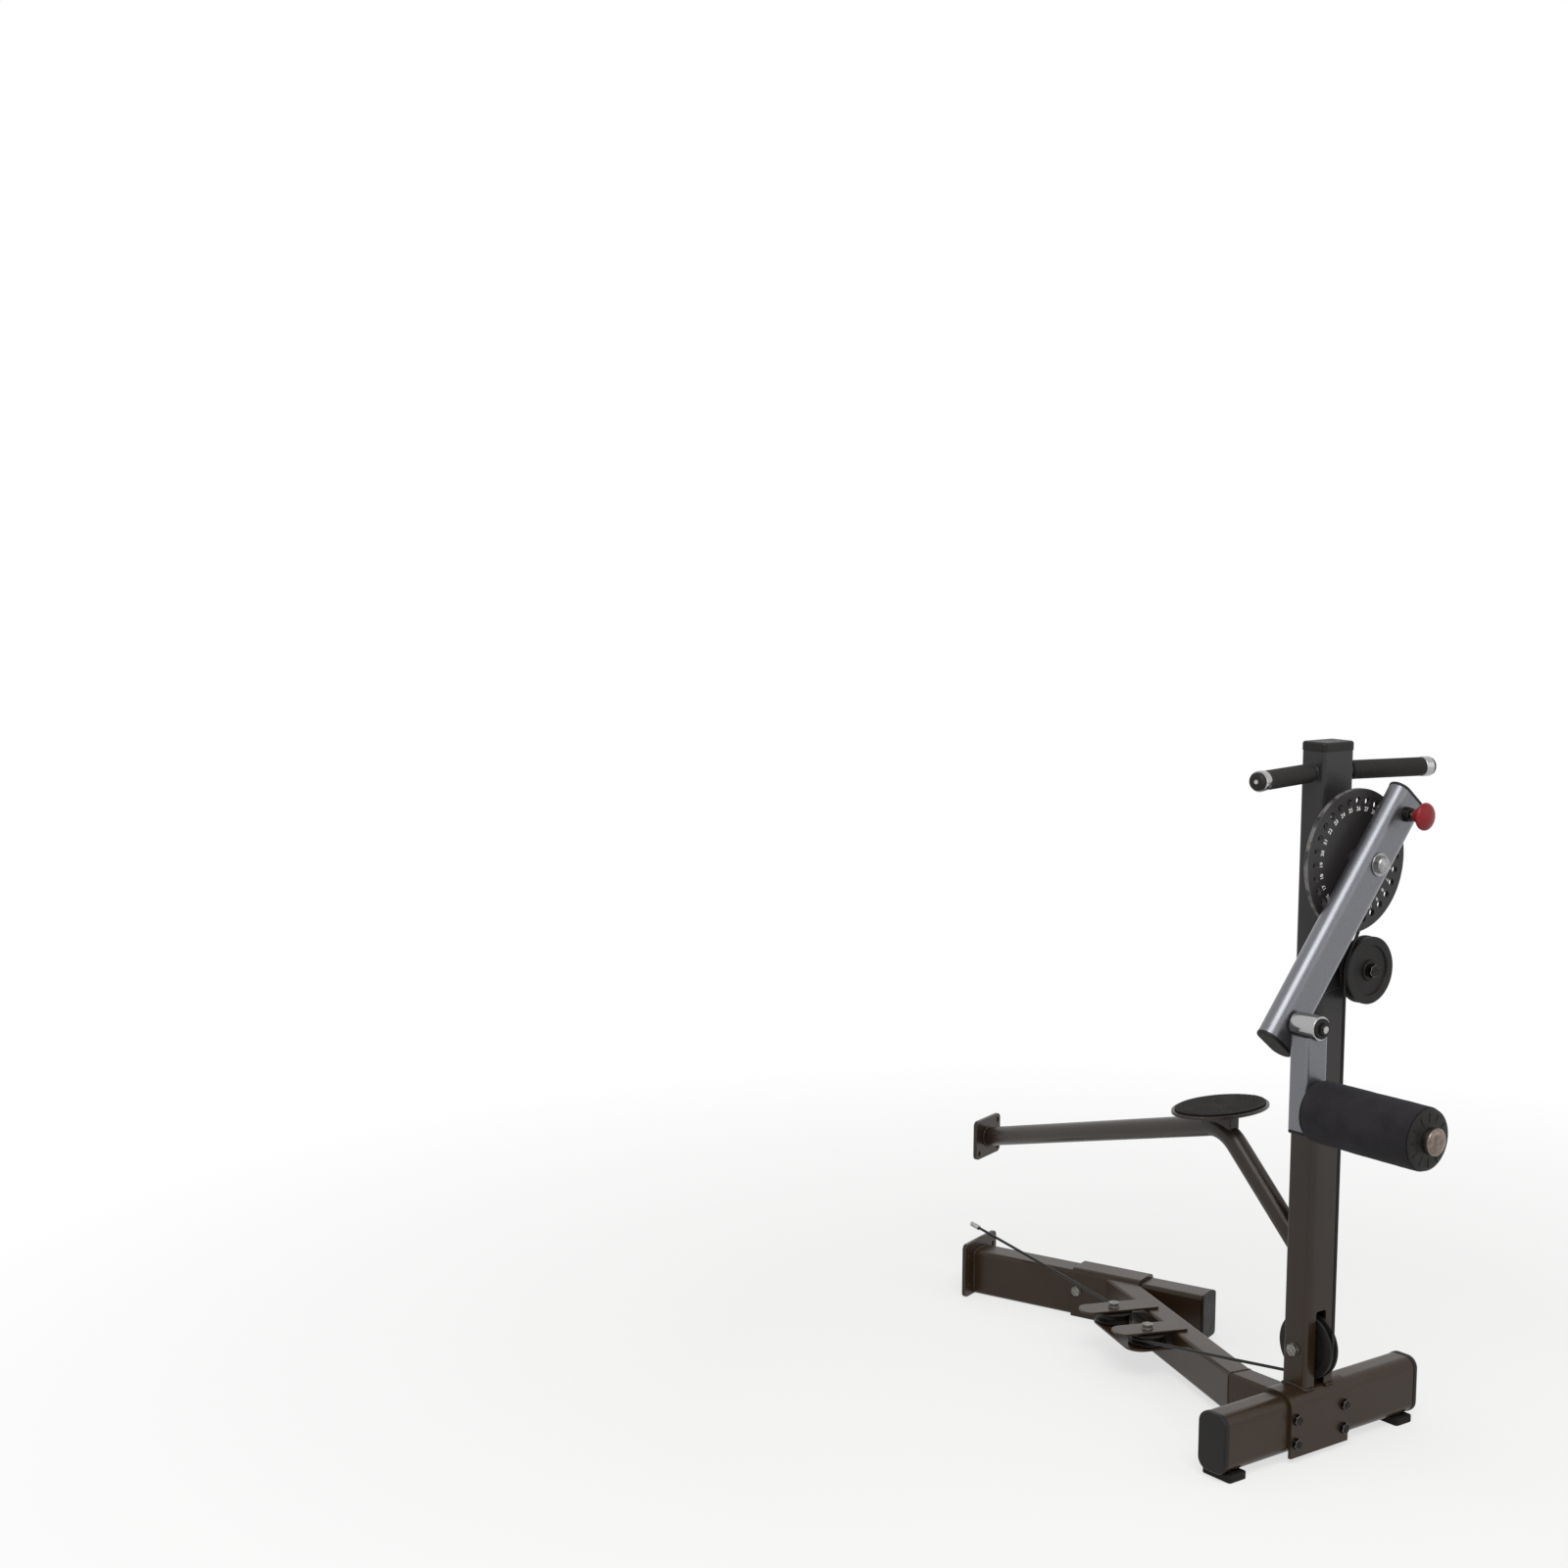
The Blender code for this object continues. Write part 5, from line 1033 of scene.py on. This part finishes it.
groove = CAM_R - CABLE_D / 2 - 0.0007
rim = CAM_R + 0.004
hub0, hub1 = 0.0403, ARM_X0 - FIT
finish_piece("cam_drum", turned(
    [(hub0, SHAFT_R + FIT), (hub0, BOSS_R - 0.001), (hub0 + 0.001, BOSS_R),
     (DRUM_X0, BOSS_R + 0.001), (DRUM_X0 + 0.004, BOSS_R + 0.003),
     (DRUM_X0 + 0.004, rim - 0.017), (DRUM_X0, rim - 0.015), (DRUM_X0, rim - 0.0008),
     (DRUM_X0 + 0.0008, rim), (ROPE_R - 0.0054, rim), (ROPE_R - 0.0024, groove),
     (ROPE_R + 0.0024, groove), (ROPE_R + 0.0054, rim), (DRUM_X1 - 0.0008, rim),
     (DRUM_X1, rim - 0.0008), (DRUM_X1, 0.022), (hub1 - 0.0008, 0.022), (hub1, 0.0212),
     (hub1, SHAFT_R + FIT)], PIVOT, X, 96), [PAINT], "drum", "frame_paint", "cable_drum")

disc = round_section(DISC_R, 128)
pull(disc, disc.faces[:], Z * DISC_T)
break_edges(disc, 0.0012, 60.0, segments=3)
disc.normal_update()
# Painted highlight: the rim's faces are marked so the paint turns light all round.
rim_highlight = disc.faces.layers.float["wear_and_rim_highlight"]
for face in disc.faces:
    if abs(face.normal.z) < 0.9:
        face[rim_highlight] = 5.0              # painted highlight: the rim is painted bright all round
steps = [2 * math.pi * k / HOLE_N for k in range(HOLE_N)]
spokes = [(Vector((math.sin(a), math.cos(a), 0)), Vector((math.cos(a), -math.sin(a), 0)))
          for a in steps]
holes, marks = [], []
for out, _ in spokes:
    hole = stand(round_section(HOLE_R, 28), out * HOLE_RING - Z * DISC_T, X, Y)
    pull(hole, hole.faces[:], Z * (3 * DISC_T))
    holes.append(hole)
bore = stand(round_section(0.0223, 64), -Z * DISC_T, X, Y)
pull(bore, bore.faces[:], Z * (3 * DISC_T))
disc = drill(disc, gather(bore, *holes))
break_edges(disc, 0.0005, 60.0, segments=1)
for k, (out, along) in enumerate(spokes):
    words = bpy.data.curves.new("number", "FONT")
    words.body = "%d" % (k + 1)
    words.size = NUMBER_SIZE
    words.offset = 0.0002
    words.align_x, words.align_y = "CENTER", "CENTER"
    words.extrude = 0.0001
    words.resolution_u = 3
    marks.append(stand(shape_of(words, 1e-7), out * NUMBER_RING + Z * DISC_T, along, out))
dial = gather(disc, painted(gather(*marks), 1))
stand(dial, PIVOT + X * DISC_X0, SIDE, UP)
finish_piece("range_dial", dial, [PAINT, INK], "drum", "frame_paint", "range_disc")

anchor = math.radians(ANCHOR)
tangent = Vector((0, -math.sin(anchor), math.cos(anchor)))
finish_piece("cable_ball_stop", turned(rod(0.0, 0.013, 0.0045, 0.001), ROUTE[-1] + tangent * FIT,
                                       tangent, 28), [ZINC], "drum", "bright_steel",
             "cable_stop")

# ------------------------------------------------------------------ arm and pop pin

arm_mid = X * ((ARM_X0 + ARM_X1) / 2) + PIVOT
arm_top, arm_foot = arm_mid + UP * ARM_UP, arm_mid - UP * ARM_DOWN
arm = bar(section(ARM_W, ARM_T, ARM_T * 0.4995, 14), arm_foot, arm_top, SIDE)
finish_piece("swing_arm_tube", arm, [SILVER], "swing_arm", "silver_paint", "arm_tube")
for name, at, out in (("lower", arm_foot, -UP), ("upper", arm_top, UP)):
    cap = bar(section(ARM_W + 0.001, ARM_T + 0.001, ARM_T * 0.5125, 14), at + out * FIT,
              at + out * (FIT + 0.0056), SIDE)
    edge = [e for e in cap.edges if all((v.co - at).dot(out) > 0.0058 for v in e.verts)]
    bevel(cap, edge, 0.0026, 4)
    finish_piece("arm_end_" + name, cap, [CAP_PLASTIC], "swing_arm", "black_plastic",
                 "arm_cap_" + name)

pin_at = Vector((0, PIN.y, PIN.z))
neck_x = ARM_X1 + FIT + 0.012
finish_piece("pin_housing", turned(
    [(ARM_X0, 0.0053), (ARM_X0, 0.0088), (ARM_X1 + FIT, 0.0088), (ARM_X1 + FIT, 0.0125),
     (ARM_X1 + 0.004, 0.0125), (ARM_X1 + 0.005, 0.0115), (neck_x - 0.001, 0.0115),
     (neck_x, 0.0105), (neck_x, 0.0053)], pin_at, X, 48), [BLACK_OXIDE], "swing_arm",
    "black_plastic", "pin_barrel")
pin_tip = DISC_X1 + 0.0008
stem_x = neck_x + FIT + 0.0074
head_c = stem_x + 0.009 + KNOB_HALF
knob = [(stem_x, 0.0), (stem_x, NECK_R - 0.0008), (stem_x + 0.0008, NECK_R),
        (stem_x + 0.006, NECK_R), (stem_x + 0.009, 0.013)]
for k in range(13):
    a = math.radians(140 - 140 / 12 * k)
    knob.append((head_c + KNOB_HALF * math.cos(a), KNOB_R * math.sin(a)))
knob[-1] = (head_c + KNOB_HALF, 0.0)
plunger = turned([(pin_tip, 0), (pin_tip, PIN_R - 0.0012), (pin_tip + 0.0012, PIN_R),
                  (stem_x + 0.001, PIN_R), (stem_x + 0.001, 0)], pin_at, X, 32)
finish_piece("pull_knob", gather(turned(knob, pin_at, X, 56), painted(plunger, 1)),
             [KNOB_RED, ZINC], "range_pin", "knob_red", "pin_knob")

# ------------------------------------------------------------------ link and roller

link_at = Vector((0, LINK_PIVOT.y, LINK_PIVOT.z))
bolt_x = ARM_X0 - FIT
washer_x = SLEEVE_X1 + FIT
link_bolt = hex_bolt(link_at + X * bolt_x, X, 0.019, 0.0075, 0.006,
                     length=washer_x + 0.0125 - bolt_x)
low_nut = stand(hexagon(0.019, 0.004), link_at + X * (washer_x + 0.0033), Y, Z)
spacer = turned(rod(ARM_X1 + FIT, SLEEVE_X0 - FIT, 0.0165, 0.0005), link_at, X, 48)
end_washer = turned([(washer_x, 0), (washer_x, 0.0160), (washer_x + 0.0006, 0.0165),
                     (washer_x + 0.0022, 0.0165), (washer_x + 0.003, 0.0157),
                     (washer_x + 0.003, 0)], link_at, X, 48)
finish_piece("link_hex_bolt", gather(link_bolt, painted(spacer, 1), painted(end_washer, 1),
                                     painted(low_nut, 1)),
             [ZINC, CAP_PLASTIC], "swing_arm", "bright_steel", "link_bolt")
finish_piece("pivot_sleeve", turned(rod(SLEEVE_X0, SLEEVE_X1, SLEEVE_R, 0.0012, SLEEVE_BORE),
                                    link_at, X, 64), [CHROME], "roller_link", "chrome",
             "link_sleeve")
link_top = Vector((LINK_XC, LINK_PIVOT.y, LINK_PIVOT.z - 0.014))
link_foot = Vector((LINK_XC, LINK_PIVOT.y, ROLLER.z - 0.034))
hanger = bar(section(LINK_X, LINK_Y, TUBE_CORNER, 8), link_foot, link_top, X)
saddle_cut = stand(round_section(SLEEVE_R + FIT, 64), link_at + X * (SLEEVE_X0 - 0.02), Y, Z)
pull(saddle_cut, saddle_cut.faces[:], X * 0.09)
hanger = drill(hanger, saddle_cut)
finish_piece("hanging_link", hanger, [SILVER], "roller_link", "silver_paint", "link_tube")
foot_cap = bar(section(LINK_X, LINK_Y, TUBE_CORNER, 8), link_foot - Z * FIT,
               link_foot - Z * (FIT + 0.006), X)
break_edges(foot_cap, 0.0018, 60.0, segments=3)
finish_piece("hanging_link_end", foot_cap, [CAP_PLASTIC], "roller_link", "black_plastic",
             "link_bottom_cap")

roller_at = Vector((0, ROLLER.y, ROLLER.z))
axle_x = LINK_XC - LINK_X / 2 - FIT
hub_x = FOAM_X1 + 2 * FIT + 0.0075
finish_piece("roller_shaft", hex_bolt(roller_at + X * axle_x, X, 0.022, 0.006, 0.008,
                                      length=hub_x + 0.010 - axle_x), [ZINC], "roller_link",
             "bright_steel", "roller_axle")

FOAM_CELLS = 60
foam_line = [(FOAM_X0, AXLE_BORE), (FOAM_X0, FOAM_R - 0.004), (FOAM_X0 + 0.0005, FOAM_R - 0.002),
             (FOAM_X0 + 0.002, FOAM_R - 0.0005)]
foam_line += [(FOAM_X0 + 0.004 + (FOAM_X1 - FOAM_X0 - 0.008) * k / FOAM_CELLS, FOAM_R)
              for k in range(FOAM_CELLS + 1)]
foam_line += [(FOAM_X1 - 0.002, FOAM_R - 0.0005), (FOAM_X1 - 0.0005, FOAM_R - 0.002),
              (FOAM_X1, FOAM_R - 0.004), (FOAM_X1, AXLE_BORE)]
sleeve = turned(foam_line, roller_at, X, 96)
for v in sleeve.verts:
    out = Vector((0, v.co.y - ROLLER.y, v.co.z - ROLLER.z))
    if out.length > FOAM_R * 0.9:
        dent = noise.noise(v.co * 28.0) * 0.0005 + noise.noise(v.co * 95.0) * 0.0002
        v.co += out.normalized() * min(dent, 0.0002)
foam_piece = finish_piece("foam_sleeve", sleeve, [FOAM], "roller", "foam", "foam_roller")
for name, x, d in (("inner", FOAM_X0 - FIT, -X), ("outer", FOAM_X1 + FIT, X)):
    at = roller_at + X * x
    dish = turned([(0, AXLE_BORE), (0, 0.0465), (0.0012, 0.0478), (0.0024, 0.0478),
                   (0.004, 0.0452), (0.0048, 0.040), (0.0052, 0.030), (0.0060, 0.024),
                   (0.0075, 0.0218), (0.0075, AXLE_BORE)], at, d, 72)
    cap_ribs = []
    for k in range(12):
        a = 2 * math.pi * k / 12
        out = Y * math.cos(a) + Z * math.sin(a)
        cap_ribs.append(bar(section(0.0022, 0.0062, 0.0005, 1), at + out * 0.021
                            + d * 0.0029, at + out * 0.0415 + d * 0.0029, out.cross(d)))
    finish_piece("roller_end_" + name, gather(dish, *cap_ribs), [CAP_PLASTIC], "roller",
                 "black_plastic", "roller_cap_" + name)
hub_end = hub_x + 0.010
DOME_H = 0.0063
hub_dome = [(hub_x, AXLE_BORE), (hub_x, HUB_CAP_R - 0.001), (hub_x + 0.001, HUB_CAP_R),
            (hub_end, HUB_CAP_R)]
hub_dome += [(hub_end + DOME_H * math.sin(math.radians(a)),
              HUB_CAP_R * math.cos(math.radians(a))) for a in (12, 24, 36, 48, 60, 72, 82)]
hub_dome += [(hub_end + DOME_H, 0.0), (hub_end + FIT, 0.0), (hub_end + FIT, AXLE_BORE)]
finish_piece("roller_dome_cap", turned(hub_dome, roller_at, X, 56), [NICKEL], "roller_link",
             "chrome", "roller_hub_cap")

# ------------------------------------------------------------------ floor and light

floor_mesh = bmesh.new()
bmesh.ops.create_grid(floor_mesh, x_segments=2, y_segments=2, size=30.0)
ground = bpy.data.meshes.new("floor")
floor_mesh.to_mesh(ground)
floor_mesh.free()
floor = new_object("floor", ground)


def seen_directly(tree):
    """One for what the camera, a mirror or clear glass sees."""
    path = add(tree, "ShaderNodeLightPath")
    both = add(tree, "ShaderNodeMath", {"operation": "MAXIMUM"},
               links={0: path.outputs["Is Camera Ray"], 1: path.outputs["Is Glossy Ray"]})
    every = add(tree, "ShaderNodeMath", {"operation": "MAXIMUM"},
                links={0: both.outputs[0], 1: path.outputs["Is Transmission Ray"]})
    return every.outputs[0]


paper = bpy.data.materials.new("studio_paper_white")
paper.use_nodes = True
tree = paper.node_tree
lit = tree.nodes["Principled BSDF"]
lit.inputs["Base Color"].default_value = srgb("#f2f1ef")
lit.inputs["Roughness"].default_value = 0.9
lit.inputs["Specular IOR Level"].default_value = 0.0
glow = add(tree, "ShaderNodeEmission", values={"Color": srgb("#ffffff"), "Strength": 1.0})
spot = add(tree, "ShaderNodeTexCoord").outputs["Object"]
far = add(tree, "ShaderNodeVectorMath", {"operation": "LENGTH"}, links={0: spot}).outputs["Value"]
share = times(tree, seen_directly(tree), spread(tree, far, 0.9, 2.6, 0.66, 1.0))
both = add(tree, "ShaderNodeMixShader", links={0: share, 1: lit.outputs[0],
                                               2: glow.outputs[0]})
tree.links.new(both.outputs[0], tree.nodes["Material Output"].inputs["Surface"])
ground.materials.append(paper)

world = bpy.data.worlds.new("studio")
world.use_nodes = True
scene.world = world
tree = world.node_tree
sky = tree.nodes["Background"]
sky.inputs["Color"].default_value = srgb("#ffffff")
tree.links.new(spread(tree, seen_directly(tree), 0.0, 1.0, 0.5, 1.0), sky.inputs["Strength"])


def softbox(name, towards, far, size, watts, aim=Vector((0.3, 0.0, 0.6))):
    """Square studio lamp that faces the machine."""
    lamp = bpy.data.lights.new(name, "AREA")
    lamp.size = size
    lamp.energy = watts
    holder = new_object(name, lamp)
    place = aim + Vector(towards).normalized() * far
    holder.location = place
    holder.rotation_euler = (aim - place).to_track_quat("-Z", "Y").to_euler()


softbox("key", (0.46, -0.48, 0.74), 3.4, 2.0, 66.0)
softbox("fill", (0.80, 0.40, 0.40), 3.6, 2.4, 10.0)

scene.view_settings.view_transform = "Standard"
